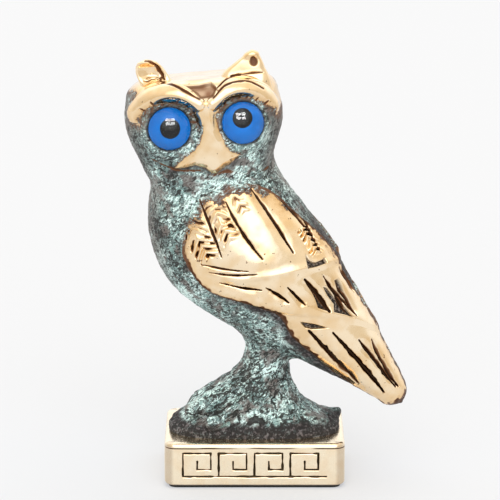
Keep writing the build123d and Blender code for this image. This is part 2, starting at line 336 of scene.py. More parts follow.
# ---- Meshes ----
def tube_mesh(name, p, marks=None):
    """A closed mesh from rings of points: rings joined in turn, and each end closed onto its middle. Each
    mark is a number for every point, or one for all, kept on the mesh for the finishes."""
    rows, columns = p.shape[:2]
    points = np.concatenate([p.reshape(-1, 3), p[:1].mean(1), p[-1:].mean(1)])
    index = np.arange(rows * columns).reshape(rows, columns)
    a, b = index[:-1], np.roll(index, -1, 1)[:-1]
    c, d = np.roll(index, -1, 1)[1:], index[1:]
    quads = np.stack([a, b, c, d], -1).reshape(-1, 4)
    first, last = index[0], index[-1]
    start = np.stack([np.roll(first, -1), first, np.full(columns, rows * columns)], 1)
    end = np.stack([last, np.roll(last, -1), np.full(columns, rows * columns + 1)], 1)
    caps = np.concatenate([start, end])
    corners = points[quads]
    spans = np.cross(corners[:, 2] - corners[:, 0], corners[:, 3] - corners[:, 1])
    if np.sum(spans * (corners.mean(1) - points.mean(0))) < 0:
        quads, caps = quads[:, ::-1], caps[:, ::-1]
    mesh = bpy.data.meshes.new(name)
    mesh.vertices.add(len(points))
    world = points.copy()
    world[:, 2] += PLINTH_TOP
    mesh.vertices.foreach_set("co", (world * MM).astype(np.float32).ravel())
    mesh.loops.add(quads.size + caps.size)
    mesh.loops.foreach_set("vertex_index", np.concatenate([quads.ravel(), caps.ravel()]).astype(np.int32))
    mesh.polygons.add(len(quads) + len(caps))
    totals = np.concatenate([np.full(len(quads), 4), np.full(len(caps), 3)])
    starts = np.concatenate([[0], np.cumsum(totals)[:-1]])
    mesh.polygons.foreach_set("loop_start", starts.astype(np.int32))
    mesh.polygons.foreach_set("use_smooth", np.ones(len(totals), bool))
    for mark, values in (marks or {}).items():
        values = np.broadcast_to(values, (rows, columns))
        flat = np.concatenate([values.ravel(), values[:1].mean(1), values[-1:].mean(1)])
        mesh.attributes.new(mark, "FLOAT", "POINT").data.foreach_set("value", flat.astype(np.float32))
    mesh.update(calc_edges=True)
    mesh.validate()
    piece = bpy.data.objects.new(name, mesh)
    bpy.context.scene.collection.objects.link(piece)
    return piece


def weathered(p, n, share=1.0, coarse=0.0):
    """Pits and grains of rough bronze: random lumps of three sizes added along the normals."""
    grain = 0.55 * lumps(p, 1.15, 1) + 0.45 * lumps(p, 0.55, 2)
    swell = 0.6 * lumps(p, 2.7, 5) + 0.4 * lumps(p, 1.3, 6)
    return p + n * (share * (0.15 * grain + coarse * swell))[..., None], grain + 0.8 * swell * (coarse > 0)


# ---- Engraved and raised work ----
def cut_along(u, v, points, width, taper=0.55, ragged=0.0):
    """Strength 0 to 1 of a cut line: full inside its width, thinner towards both ends, uneven if ragged."""
    gap, share = along_line(rounded(points), u, v)
    ends = np.minimum(share, 1 - share)
    here = width * (1 - taper + taper * ease(0.0, 0.35, ends)) / 2
    if ragged:
        here = here * (1 + ragged * lumps(np.stack([u, v, 0 * u], -1), 0.7, 11))
    fade = ease(0.0, 0.03, ends)
    return ease(1.9, 0.45, gap / here) * fade


def valley_along(u, v, points, width):
    """Depth 0 to 1 of the soft valley beside a cut, exp(-(gap/width)^2), fading at both ends."""
    gap, share = along_line(rounded(points), u, v)
    return np.exp(-((gap / width) ** 2)) * ease(0.0, 0.2, np.minimum(share, 1 - share))


# Face, in millimetres sideways and upwards from between the eyes
BEAK = [
    (-1.6, 5.0), (-1.5, 3.8), (-0.8, 1.9), (-0.5, 0.0), (-0.8, -1.7), (-1.5, -3.3), (-2.5, -4.4),
    (-4.0, -5.4), (-5.5, -6.3), (-6.8, -7.6), (-4.8, -7.5), (-2.6, -7.2), (-0.7, -7.9), (0.3, -8.9),
    (1.2, -9.0), (2.7, -7.9), (3.8, -7.4), (4.8, -6.6), (6.0, -5.8), (4.4, -5.4), (3.3, -4.2),
    (2.9, -2.8), (2.2, -0.9), (2.0, 1.0), (2.1, 3.6), (2.3, 5.0),
]
LEFT_BROW = [(-0.9, 3.7), (-3.2, 5.0), (-6.6, 6.0), (-9.8, 5.4), (-12.4, 3.4)]
RIGHT_BROW = [(1.5, 3.6), (3.6, 4.8), (6.8, 5.5), (9.6, 5.0), (12.0, 3.2)]
BROW_CUTS = [
    [(-11.0, 7.5), (-8.5, 8.0), (-5.0, 7.0), (-0.5, 4.5)],
    [(1.5, 4.5), (4.0, 6.5), (7.5, 7.0), (10.5, 5.5)],
]
CROWN_CUT = [(2.5, 6.5), (5.0, 8.5), (8.5, 9.0), (11.5, 9.0)]
BROW_HOLLOW = [(-3.8, 7.5), (-0.7, 7.4), (1.5, 7.8), (2.6, 6.6), (1.7, 4.7), (-0.7, 4.7), (-1.3, 5.7)]
GOLD_FACE = [
    (-11.6, 9.5), (-12.7, 6.4), (-13.8, 3.4), (-13.4, 1.3), (-12.4, 0.6), (-11.9, 1.9), (-10.4, 3.5),
    (-9.2, 4.1), (-7.4, 4.4), (-5.2, 4.4), (-3.7, 4.0), (-2.6, 2.9), (-1.2, -0.4), (1.6, -0.4), (2.1, 1.6),
    (2.9, 2.6), (4.2, 3.8), (5.6, 4.3), (7.2, 4.3), (8.6, 4.1), (10.0, 3.4), (11.6, 2.3), (13.4, 0.9),
    (14.6, 4.0), (13.4, 9.5), (16.0, 20.0), (-16.0, 20.0),
]
CHIN_CREASE = [
    (-10.9, -5.2), (-8.7, -6.6), (-6.6, -7.6), (-4.8, -8.1), (-1.6, -8.3), (0.1, -9.4), (3.1, -8.8),
    (7.0, -9.5), (10.0, -9.0), (11.6, -7.8),
]
LASHES = [
    [(3.2, 1.6), (2.7, 2.8)], [(4.1, 2.9), (3.7, 3.9)], [(5.3, 3.9), (5.0, 4.8)], [(6.3, 4.0), (6.6, 4.7)],
    [(7.4, 4.0), (7.9, 4.9)], [(8.9, 3.6), (9.4, 4.4)], [(10.2, 2.8), (10.9, 3.6)], [(8.1, 3.9), (8.5, 4.6)],
    [(-3.7, 3.3), (-2.6, 3.9)], [(-3.1, 1.9), (-1.8, 2.4)], [(-2.9, 0.6), (-1.5, 0.4)],
    [(-4.9, 4.3), (-4.2, 5.0)], [(-10.3, 3.4), (-11.2, 4.1)], [(-8.8, 4.2), (-9.3, 5.0)],
]

# Eyes: turn from the CAD's own axis in degrees, rise of the glass, how far they sit below the CAD's place,
# how much less the glass's radius is than the CAD's, and the pupil's radius and shift sideways and upwards
EYE_TURN = {"left": -8.0, "right": 10.0}
EYE_DOME = 1.75
EYE_DROP = 0.32
EYE_NARROWER = 0.3
PUPIL_RADIUS = 1.6
PUPIL_SHIFT = {"left": (0.0, 0.78), "right": (0.1, -0.05)}


def corners_of(node):
    """A CAD node's corners in the figure's own places."""
    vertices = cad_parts[node].data.vertices
    co = np.zeros(len(vertices) * 3)
    vertices.foreach_get("co", co)
    return co.reshape(-1, 3) / MM - np.array([0, 0, PLINTH_TOP])


def eye_axes():
    """Middle, axis, glass and socket radius and front of each eye. The axis is the flat iris's least spread,
    turned, and the glass's radius and front are its corners' furthest places from the axis and along it."""
    eyes = {}
    for side, degrees in EYE_TURN.items():
        glass = corners_of(f"{side}_eye_glass")
        iris = corners_of(f"{side}_eye_iris")
        middle = iris.mean(0)
        x, y, z = np.linalg.svd(iris - middle, full_matrices=False)[2][2]
        x, y, z = (x, y, z) if y < 0 else (-x, -y, -z)
        turn = radians(degrees)
        axis = np.array([x * cos(turn) - y * sin(turn), x * sin(turn) + y * cos(turn), z])
        forward = (glass - middle) @ axis
        radius = np.linalg.norm(glass - middle - np.outer(forward, axis), axis=1).max()
        eyes[side] = {
            "middle": middle - np.array([0, 0, EYE_DROP]), "axis": axis, "front": forward.max(),
            "glass": radius, "radius": radius - 0.15,
        }
    return eyes


EYES = eye_axes()


def chin_crease(p):
    """Strength of the dark crease under the face, at any place of the bird."""
    u, v = on_face(p)
    near = ease(1.0, -2.0, p[..., 1]) * ease(4.0, 2.0, np.abs(head_form(p)))
    broken = 0.2 + 0.8 * ease(-0.2, 0.3, lumps(p, 2.0, 18))
    return 0.75 * cut_along(u, v, CHIN_CREASE, 0.36, ragged=0.9) * near * broken


# The polish mark far from any rubbed place
NOT_RUBBED = -9.0


def sculpt_head(p, normals, sizes):
    """Raises brows, bridge and beak, sinks the orbits and cuts the lines. Returns points and marks."""
    u, v = on_face(p)
    front = ease(1.0, -2.0, p[..., 1])
    beak = inside(BEAK, u, v)
    # Rubbed places: forehead and brows, whatever faces upwards, and the beak
    crown = 5.0 * (normals[..., 2] - 0.6) + 0.5 * lumps(p, 2.6, 3)
    polish = np.where(p[..., 1] < 0, inside(GOLD_FACE, u, v), NOT_RUBBED)
    polish = np.maximum(polish, np.minimum(crown, 3.0))
    polish = np.maximum(polish, np.where(front > 0.5, 2.5 * beak, NOT_RUBBED))
    # Beak, and brows as half round ridges
    raised = sizes.beak_height * ease(-0.6, 1.5, beak) * front
    for brow in (LEFT_BROW, RIGHT_BROW):
        gap, share = along_line(rounded(brow), u, v)
        width = 2.1 - 0.8 * ease(0.3, 0.0, share)
        facing = ease(0.15, 0.6, -normals[..., 1])
        arch = np.sqrt(np.maximum(1 - (gap / width) ** 2, 0))
        raised = np.maximum(raised, sizes.brow_height * arch * facing)
    # Cut lines, then the hollow between the brows with its painted brown reflection
    cut = chin_crease(p)
    lines = [(line, 0.8, 0.34, 0.5) for line in BROW_CUTS] + [(CROWN_CUT, 0.8, 0.32, 0.0)]
    lines += [(line, 0.7, 0.24, 0.6) for line in LASHES]
    for line, strength, width, ragged in lines:
        cut = np.maximum(cut, strength * cut_along(u, v, line, width, ragged=ragged) * front)
    hollow = inside(BROW_HOLLOW, u, v) * front
    depth = 0.35 * cut + 0.7 * ease(-0.1, 0.5, hollow)
    p = p + normals * (raised - depth)[..., None]
    brow_reflection = ease(-0.15, 0.15, inside(BROW_HOLLOW, u, v)) * front
    hollow_shade = np.clip(brow_reflection * (0.9 + 0.25 * lumps(p, 1.2, 26)), 0, 1)
    # Round each eye, a flat rim level with the glass's shoulder, a socket and a painted shadow ring along the
    # glass
    shadow = np.zeros(u.shape)
    for eye in EYES.values():
        away = p - eye["middle"]
        forward = away @ eye["axis"]
        across = np.linalg.norm(away - forward[..., None] * eye["axis"], axis=-1)
        rim = eye["radius"]
        level = eye["front"] - EYE_DOME - 0.2
        near = ease(rim + 2.3, rim + 0.3, across) * ease(-4.6, -2.2, forward)
        p = p + (near * (level - forward))[..., None] * eye["axis"]
        forward = (p - eye["middle"]) @ eye["axis"]
        socket = ease(rim + 0.05, rim - 0.25, across) * ease(-9, -5, forward)
        p = p - (socket * (forward + 0.4))[..., None] * eye["axis"]
        ring = ease(-0.3, 0.0, across - rim) * ease(0.5, 0.05, across - rim)
        shadow = np.maximum(shadow, ring * front * (0.8 + 0.3 * lumps(p, 1.6, 25)))
    # Painted shade: brown on the sides that face x, a dark band under the beak and a shadow ring round each
    # eye
    side_shade = ease(0.55, 0.95, np.abs(normals[..., 0]))
    shade_under_beak = ease(1.5, 0.3, -beak) * ease(-0.3, 0.0, -beak) * ease(-6.2, -7.2, v) * front
    soot_and_shade = np.maximum(0.75 * shade_under_beak, shadow)
    return p, {"polish": polish, "cut": cut, "hollow_shade": hollow_shade, "side_shade": side_shade, "soot_and_shade": soot_and_shade}


def make_head(sizes):
    """Head: spokes in all directions from its middle, polar angle down the rows and turn along the columns,
    each followed to where it leaves the bird."""
    rows, columns = 250, 350
    polar = np.linspace(0.012, pi - 0.6, rows)
    # The columns crowd together towards the face
    turn = turns(columns)
    turn = turn + 0.45 * np.sin(turn)
    polar, turn = np.meshgrid(polar, turn, indexing="ij")
    side = np.array([cos(HEAD_ROLL), 0, sin(HEAD_ROLL)])
    up = np.array([-sin(HEAD_ROLL), 0, cos(HEAD_ROLL)])
    ways = (
        np.sin(polar)[..., None] * (np.sin(turn)[..., None] * side + np.cos(turn)[..., None] * SIDEWAYS)
        + np.cos(polar)[..., None] * up
    )
    origin = np.broadcast_to(HEAD_MIDDLE, ways.shape)
    p = spokes(origin, ways, head_form, 1.6, 26)
    n = grid_normals(p)
    p, marks = sculpt_head(p, n, sizes)
    n = grid_normals(p)
    rough = ease(0.3, -0.3, marks["polish"])
    p, marks["pit"] = weathered(p, n, rough)
    p = p + n * ((1 - rough) * 0.04 * lumps(p, 2.3, 4))[..., None]
    return tube_mesh("owl_head", p, marks)


# Wing, in millimetres sideways and in slanted height
SHOULDER_EDGE = [(-13.5, 34.5), (-10.0, 31.0), (-5.0, 28.5), (1.0, 28.5), (9.5, 30.0), (18.0, 32.0)]
WING_EDGE = [(-13.5, 31.5), (-9.5, 27.0), (-3.0, 24.5), (6.5, 22.0), (17.5, 20.5), (26.0, 17.0)]
# Cuts between feathers as shallow arcs: where each starts and ends, its bow and its width
SHOULDER_CUTS = [
    ((-10.5, 44.0), (-6.0, 32.5), 0.0, 0.36),
    ((-5.5, 43.0), (1.5, 32.0), -0.5, 0.38),
    ((-1.0, 45.5), (7.0, 33.0), 0.2, 0.4),
    ((4.5, 43.0), (12.0, 33.0), 0.6, 0.34),
    ((8.0, 40.5), (12.0, 33.0), 0.2, 0.32),
    ((-10.0, 31.5), (-1.0, 30.0), -0.3, 0.22),
    ((-8.5, 30.0), (0.5, 29.5), -0.4, 0.22),
]
COVERT_CUTS = [
    ((-6.5, 28.0), (1.5, 26.5), -0.3, 0.28),
    ((2.0, 27.0), (6.5, 24.0), 0.1, 0.34),
    ((6.0, 27.0), (9.5, 23.5), 0.0, 0.34),
    ((9.0, 28.5), (14.0, 22.0), 0.3, 0.55),
    ((12.5, 29.0), (17.0, 22.0), 0.2, 0.5),
    ((13.5, 27.5), (19.0, 21.0), 0.2, 0.3),
    ((15.0, 28.0), (19.0, 21.0), 0.1, 0.34),
    ((15.5, 30.5), (18.5, 25.5), 0.2, 0.34),
]
TAIL_CUTS = [
    ((10.0, 19.0), (20.0, 8.5), -0.2, 0.62),
    ((14.5, 18.5), (25.0, 6.5), 0.2, 0.62),
    ((19.5, 17.0), (27.0, 7.5), 0.1, 0.56),
    ((22.0, 17.0), (27.5, 7.5), -0.2, 0.5),
]
# Recesses between feather tips, as outlines
RECESSES = [
    [(8.9, 28.5), (10.3, 27.6), (11.2, 26.2), (12.1, 24.8), (13.1, 23.6), (14.2, 22.1), (13.1, 22.5),
     (11.7, 23.0), (11.2, 24.6), (10.5, 26.0), (9.6, 27.3)],
    [(12.5, 26.9), (13.4, 26.7), (14.9, 24.9), (16.2, 23.9), (17.4, 22.4), (18.6, 20.7), (16.8, 21.5),
     (14.6, 22.1), (14.6, 23.6), (13.4, 25.2)],
    [(14.6, 28.0), (15.4, 28.3), (16.3, 27.0), (17.0, 25.2), (18.2, 22.4), (16.9, 24.2), (15.3, 26.1)],
    [(9.0, 33.0), (9.3, 31.4), (9.5, 30.2), (11.2, 30.5), (13.1, 31.1), (12.6, 32.2), (12.1, 31.8),
     (10.8, 31.3), (9.7, 31.9)],
    [(8.4, 20.5), (11.4, 20.0), (14.2, 19.2), (10.8, 19.0), (9.5, 19.3)],
]
# Feathers with barbs: middle line, half width, spacing and strength
BARBED = [
    ([(-11.9, 39.6), (-10.7, 36.3), (-9.2, 34.0), (-7.6, 32.0)], 2.4, 1.5, 1.25),
    ([(-7.7, 42.6), (-6.4, 39.2), (-5.1, 36.9), (-4.0, 35.3)], 2.1, 1.6, 1.15),
    ([(-4.2, 44.6), (-3.0, 42.6), (-1.7, 40.6)], 1.5, 1.5, 0.7),
    ([(8.3, 37.9), (9.4, 36.2), (10.6, 34.2), (11.2, 32.6)], 1.4, 1.0, 1.0),
]
# Border of the rubbed part of the wing, feather tip by feather tip, then well outside it
WING_GOLD = [
    (-13.5, 34.2), (-12.9, 35.3), (-13.2, 36.8), (-12.2, 37.3), (-12.6, 39.0), (-11.4, 38.6), (-11.1, 39.9),
    (-10.1, 39.8), (-9.6, 41.9), (-8.6, 42.9), (-7.4, 42.3), (-6.0, 42.3), (-5.5, 43.8), (-4.6, 44.8),
    (-3.3, 44.4), (-2.1, 45.1), (-1.1, 44.3), (-0.7, 45.6), (0.4, 45.0), (1.6, 43.6), (3.2, 44.2),
    (4.5, 42.9), (5.4, 41.7), (6.9, 41.1), (8.4, 40.4), (10.0, 38.8), (11.2, 37.8), (12.2, 36.0),
    (13.6, 34.2), (14.6, 32.5), (20, 30), (40, 20), (40, -10), (-20, -10), (-20, 33),
]
# Wing border on the body: place along the axis, and degrees round from the ridge of the back
WING_BACK = np.array([
    (-44, 72), (-40, 48), (-36, 34), (-30, 27), (-24, 20), (-16, 16), (-8, 9), (0, 2), (13.2, 2),
])
WING_BELLY = np.array([
    (-44, 94), (-42, 108), (-38, 124), (-34, 127), (-28, 126), (-22, 112), (-17, 104), (-12, 115),
    (-6, 122), (0, 136), (6, 153), (13.2, 158),
])
WING_END = 13.45
# How deep the wing's border and the sheet behind it lie in the body
WING_SUNK = 0.35


def bowed(start, end, bow):
    """Points of a shallow arc: the straight way from start to end, plus bow * 4t(1 - t) square to it."""
    start, end = np.array(start), np.array(end)
    t = np.linspace(0, 1, 5)[:, None]
    way = end - start
    square = np.array([-way[1], way[0]]) / np.hypot(*way)
    return start + way * t + square * bow * 4 * t * (1 - t)


def side_of(points, u, v):
    """Signed distance above an open line: positive on its upper side."""
    line = np.array(rounded(points))
    gap, _ = along_line(line, u, v)
    level = np.interp(u, line[:, 0], line[:, 1])
    return np.where(v > level, gap, -gap)


def feather_work(u, v, sizes):
    """Height, cut strength and recess of the wing's tiers and lines at these slanted places."""
    shoulder = side_of(SHOULDER_EDGE, u, v)
    covert = side_of(WING_EDGE, u, v)
    height = sizes.tier_step * (ease(-0.45, 0.45, shoulder) + ease(-0.45, 0.45, covert))
    rolled = 0.22 * np.exp(-(((shoulder - 0.3) / 0.9) ** 2))
    height = height + rolled + 0.2 * np.exp(-(((covert - 0.8) / 1.1) ** 2))
    cut = np.zeros(u.shape)
    valley = np.zeros(u.shape)
    for lines, width in ((SHOULDER_CUTS, 1.1), (COVERT_CUTS, 0.7), (TAIL_CUTS, 0.9)):
        for start, end, bow, wide in lines:
            line = bowed(start, end, bow)
            cut = np.maximum(cut, cut_along(u, v, line, wide, ragged=0.45))
            valley = np.maximum(valley, valley_along(u, v, line, width))
    place = np.stack([u, v, 0 * u], -1)
    for line, half, pitch, strength in BARBED:
        length = np.hypot(*np.diff(np.array(line), axis=0).T).sum()
        gap, share = along_line(rounded(line), u, v)
        wave = np.sin(2 * pi * (share * length - 0.9 * gap) / pitch + 3.2 * lumps(place, 1.6, 12))
        here = strength * ease(half, half - 0.6, gap) * ease(0.0, 0.08, share) * ease(1.0, 0.85, share)
        height = height + 0.4 * here * wave * (1 + 0.7 * lumps(place, 1.2, 17))
        cut = np.maximum(cut, 0.85 * here * ease(0.4, 1.0, -wave) * ease(-0.3, 0.5, lumps(place, 1.1, 13)))
    recess = np.zeros(u.shape)
    for outline in RECESSES:
        recess = np.maximum(recess, ease(-0.05, 0.22, inside(outline, u, v)))
    height = height - sizes.feather_depth * np.maximum(cut, recess) - sizes.vane_rounding * valley
    return height, cut, recess


def make_wing(name, mirror, sizes):
    """Wing: rows along the body's axis, columns round it from the back border to the belly border and home
    again inside the body. The outer sheet stands proud and rolls over at its border."""
    rows, outer, inner = 430, 180, 16
    t = np.linspace(0, 1, rows)
    s = WING_BACK[0, 0] + (WING_END - WING_BACK[0, 0]) * t
    (start,), (end,) = read(WING_BACK, s), read(WING_BELLY, s)
    share = np.concatenate([np.linspace(0, 1, outer), np.linspace(1, 0, inner + 2)[1:-1]])
    outside = np.concatenate([np.ones(outer), np.zeros(inner)])
    angle = np.radians(start[:, None] + (end - start)[:, None] * share[None])
    middle, half, deep = body_at(s)
    oval = np.stack([half[:, None] * np.cos(angle), -deep[:, None] * np.sin(angle)], -1)
    p = placed(s[:, None], middle[:, None] + oval[..., 0], oval[..., 1])
    n = placed(0, np.cos(angle) / half[:, None], -np.sin(angle) / deep[:, None])
    n /= np.linalg.norm(n, axis=-1, keepdims=True)
    # How far each point is from the wing's border, over the surface
    width = np.radians(end - start)[:, None] * np.hypot(oval[..., 0], oval[..., 1])
    from_side = np.minimum(share, 1 - share)[None] * width
    from_end = np.minimum((s - s[0])[:, None], (s[-1] - s)[:, None] * 0.6)
    edge = np.minimum(from_side, from_end) + 0.12 * lumps(p, 1.4, 6)
    u, v = slanted(p)
    work, cut, recess = feather_work(u, v, sizes)
    profile = np.sqrt(1 - (1 - np.clip(edge / 0.9, 0, 1)) ** 2)
    calm = 0.25 + 0.75 * ease(-42.0, -27.0, s)[:, None]
    lift = (WING_SUNK + calm * sizes.wing_relief + calm * work) * profile
    lift = -WING_SUNK + lift + 0.035 * lumps(p, 2.0, 7) * profile
    lift = np.where(outside[None] > 0, lift, -WING_SUNK - 0.8 * np.clip(from_side / 1.5, 0, 1))
    p = p + n * lift[..., None]
    # Rubbed bright inside its outline and away from the wing's border, and pitted elsewhere
    rubbed = inside(WING_GOLD, u, v) + 0.5 * lumps(p, 0.9, 19) + 0.25 * lumps(p, 0.5, 20)
    polish = np.minimum(edge - 0.6 + 0.6 * lumps(p, 0.8, 27), 0.65 * rubbed)
    rough = ease(0.2, -0.4, polish) * outside[None]
    p, pit = weathered(p, n, rough)
    if mirror:
        p = p * np.array([1, -1, 1])
    # A dark line along the border, fainter on the far wing
    rim = (0.15 if mirror else 0.75) * ease(1.25, 0.75, edge + 0.5 * lumps(p, 0.8, 16))
    cut = np.maximum(cut * ease(-2.5, -0.5, polish), rim * ease(-43.0, -33.0, s)[:, None])
    # The recesses between feather tips are darkened with painted shade.
    return tube_mesh(name, p, {"polish": polish, "cut": cut, "soot_and_shade": recess, "pit": pit * rough})


BODY_START = -52.5
BODY_LENGTH = 66.0


def make_body():
    """Body: spokes square to its axis, place along it down the rows and turn round it along the columns."""
    rows, columns = 260, 300
    t = np.linspace(0, 1, rows)
    s = BODY_START + BODY_LENGTH * (1 - (1 - t) ** 1.25)
    turn = turns(columns)
    middle, half, deep = body_at(s)
    origins = placed(s[:, None], middle[:, None], np.zeros((1, columns)))
    spoke = np.stack([half[:, None] * np.cos(turn), deep[:, None] * np.sin(turn)], -1)
    spoke /= np.linalg.norm(spoke, axis=-1, keepdims=True)
    ways = placed(0, spoke[..., 0], spoke[..., 1])
    p = spokes(origins, ways, body_form, 2.2, 24, sink=0.03)
    n = grid_normals(p)
    # How far under the wings each point lies, and how far below their lower border
    rise = (p @ ACROSS - middle[:, None]) / half[:, None]
    angle = np.degrees(np.arctan2(np.abs(p[..., 1]) / deep[:, None], rise))
    here = p @ ALONG
    from_back = angle - read(WING_BACK, here)[0]
    from_belly = read(WING_BELLY, here)[0] - angle
    arc = np.radians(np.minimum(from_back, from_belly)) * (half + deep)[:, None] / 2
    covered = ease(0.5, 1.3, np.minimum(arc, (here - WING_BACK[0, 0])))
    crease = chin_crease(p)
    below = np.radians(-from_belly) * (half + deep)[:, None] / 2
    # Painted shade below the wings, reaching further towards the tail, and painted brown shade on the sides
    # that face x
    reach = 2.2 + 5.0 * ease(-16.0, 0.0, here)
    shade = ease(-34.0, -20.0, here) * ease(1.0, 0.15, below / reach + 0.25 * lumps(p, 1.6, 24))
    side_shade = ease(0.6, 0.97, np.abs(n[..., 0])) * ease(0.0, -12.0, here)
    p, pit = weathered(p, n, 1 - covered)
    p = p - n * (0.95 * covered + 0.35 * crease)[..., None]
    marks = {"polish": NOT_RUBBED, "pit": pit, "cut": crease, "soot_and_shade": shade, "side_shade": side_shade}
    return tube_mesh("owl_body", p, marks)


def make_foot(sizes):
    """Foot: level spokes from the leg's middle line, height down the rows and turn along the columns."""
    rows, columns = 170, 420
    t = np.linspace(0, 1, rows)
    h = 22.0 * (1 - t) ** 1.15
    turn = turns(columns)
    middle = read(FOOT_SHAPE, h)[0]
    origins = np.stack([middle, 0 * h, h], -1)[:, None] + np.zeros((1, columns, 1))
    ways = np.stack([np.cos(turn), np.sin(turn), 0 * turn], -1)[None] + np.zeros((rows, 1, 1))
    p = spokes(origins, ways, standing_form, 2.6, 24)
    n = grid_normals(p)
    clear = ease(0.0, 0.8, p[..., 2])
    low = ease(16.0, 11.0, p[..., 2])
    fold = np.abs(lumps(p * np.array([0.6, 1, 1.2]), 2.6, 21) + 0.3 * lumps(p, 1.1, 22))
    crack = ease(0.13, 0.02, fold) * ease(-0.5, 0.2, lumps(p, 2.4, 23)) * ease(15.0, 9.0, p[..., 2])
    p, pit = weathered(p, n, clear, low * sizes.mound_roughness)
    p = p - n * (0.35 * crack * clear)[..., None]
    # Darker along the bottom of the mound below about 3 mm, darker in the cracks, and darker from 6 mm up the
    # leg towards the body.
    slab = ease(3.0, 2.1, p[..., 2] + 0.5 * lumps(p, 2.2, 15))
    pit = pit - 3.5 * crack - 0.7 * ease(6.0, 10.0, p[..., 2])
    return tube_mesh("owl_foot", p, {"polish": NOT_RUBBED, "pit": pit, "soot_and_shade": slab})


# Ears on the face's plane: height above the eyes, left edge and right edge there, depth, hollow
EARS = {
    "owl_right_ear": (
        [(5.5, -10.6, -3.2), (7.5, -11.3, -4.6), (9.3, -11.9, -6.0), (11.3, -12.3, -7.1),
         (12.2, -12.1, -7.9), (12.8, -11.5, -8.7), (13.15, -10.3, -10.1)], 2.6, 0.9,
    ),
    "owl_left_ear": (
        [(4.5, 3.0, 13.2), (5.8, 3.0, 13.0), (8.4, 3.2, 12.4), (9.9, 4.2, 11.8),
         (11.1, 6.0, 11.4), (12.2, 7.6, 10.9), (13.0, 8.5, 10.4), (13.35, 9.4, 9.6)], 2.6, 0.35,
    ),
}
EAR_Y = -4.6
# Middle of the dark pit in the left ear, and the lines on the ears with their widths
EAR_PIT = (9.7, 11.1)
EAR_LINES = [
    ([(-10.6, 12.9), (-9.4, 12.6), (-8.4, 11.6), (-7.7, 10.3), (-7.0, 9.1)], 0.55),
    ([(-11.0, 9.3), (-10.2, 9.1), (-9.3, 9.5), (-8.2, 9.3)], 0.2),
]


def from_face(u, v, y):
    """Place in space of a point on the rolled, slanted face at this depth."""
    across = u * cos(HEAD_ROLL) - v * sin(HEAD_ROLL)
    up = v * cos(HEAD_ROLL) + u * sin(HEAD_ROLL)
    return np.stack([FACE_X + across, y, (FACE_T + up + np.abs(y) * sin(SLANT)) / cos(SLANT)], -1)


def make_ear(name):
    """Ear: an oval ring carried from the head to the tip, as wide as the ear's outline there. Its front is
    pushed back into a cup where the ear is hollow, and it closes at the tip like the end of an egg."""
    outline, depth, hollow = EARS[name]
    outline = np.array(outline)
    rows, half_ring = 90, 48
    t = 1 - (1 - np.linspace(0, 1, rows)) ** 1.8
    level = outline[0, 0] + (outline[-1, 0] - outline[0, 0]) * t
    left, right = read(outline, level)
    middle, wide = (left + right) / 2, (right - left) / 2
    deep = depth * np.sqrt(np.clip(1 - t**3, 0.0004, 1))
    turn = np.linspace(-pi / 2, pi / 2, half_ring + 1)[:-1]
    back = np.stack([np.sin(turn), np.cos(turn)], -1)
    flat = np.stack([-np.sin(turn), -np.cos(turn)], -1)
    opened = hollow * ease(0.3, 0.62, t) * ease(1.0, 0.8, t)
    push = opened[:, None] * np.cos(turn)[None] ** 2 * 1.35
    front = np.broadcast_to(flat, (rows,) + flat.shape).copy()
    front[..., 1] = front[..., 1] + push
    ring = np.concatenate([np.broadcast_to(back, (rows,) + back.shape), front], 1)
    u = middle[:, None] + ring[..., 0] * wide[:, None]
    y = ring[..., 1] * deep[:, None]
    p = from_face(u, level[:, None] + 0 * u, EAR_Y + y)
    p[..., 2] += y * sin(SLANT)
    n = grid_normals(p)
    p = p + n * (0.05 * lumps(p, 1.6, 9))[..., None]
    a, b = on_face(p)
    facing = np.concatenate([np.zeros(half_ring), np.ones(half_ring)])[None]
    pit = ease(0.95, 0.35, np.hypot(a - EAR_PIT[0], (b - EAR_PIT[1]) * 0.8)) * facing
    cut = 0.6 * pit
    for line, wide in EAR_LINES + [(CROWN_CUT, 0.3), (BROW_CUTS[1], 0.36)]:
        cut = np.maximum(cut, 0.62 * cut_along(a, b, line, wide, ragged=0.8) * facing)
    p = p - n * (0.4 * np.maximum(pit, cut))[..., None]
    # The ear's pit is darkened with painted shade.
    return tube_mesh(name, p, {"polish": 2.0, "hollow_shade": pit, "cut": cut})


# ---- Plinth and eyes ----
# Key border: how many keys, how far apart, how tall, and the height of its middle
KEYS = 4
KEY_PITCH = 6.8
KEY_HEIGHT = 4.6
KEY_LEVEL = (PLINTH_TOP + PLINTH_FOOT) / 2


def key_border(u, v):
    """Gap from places on the plinth's front to the nearest line of the running key border."""
    bottom, top = -KEY_HEIGHT / 2, KEY_HEIGHT / 2
    low, high = bottom + 0.3 * KEY_HEIGHT, bottom + 0.65 * KEY_HEIGHT
    best = np.full(u.shape, 1e9)
    for n in range(KEYS):
        left = (n - KEYS / 2) * KEY_PITCH
        right, middle = left + 0.78 * KEY_PITCH, left + 0.4 * KEY_PITCH
        hook = [(left, bottom), (left, top), (right, top), (right, low), (middle, low), (middle, high)]
        for line in (hook, [(left, bottom), (left + KEY_PITCH, bottom)]):
            best = np.minimum(best, along_line(line, u, v)[0])
    return best


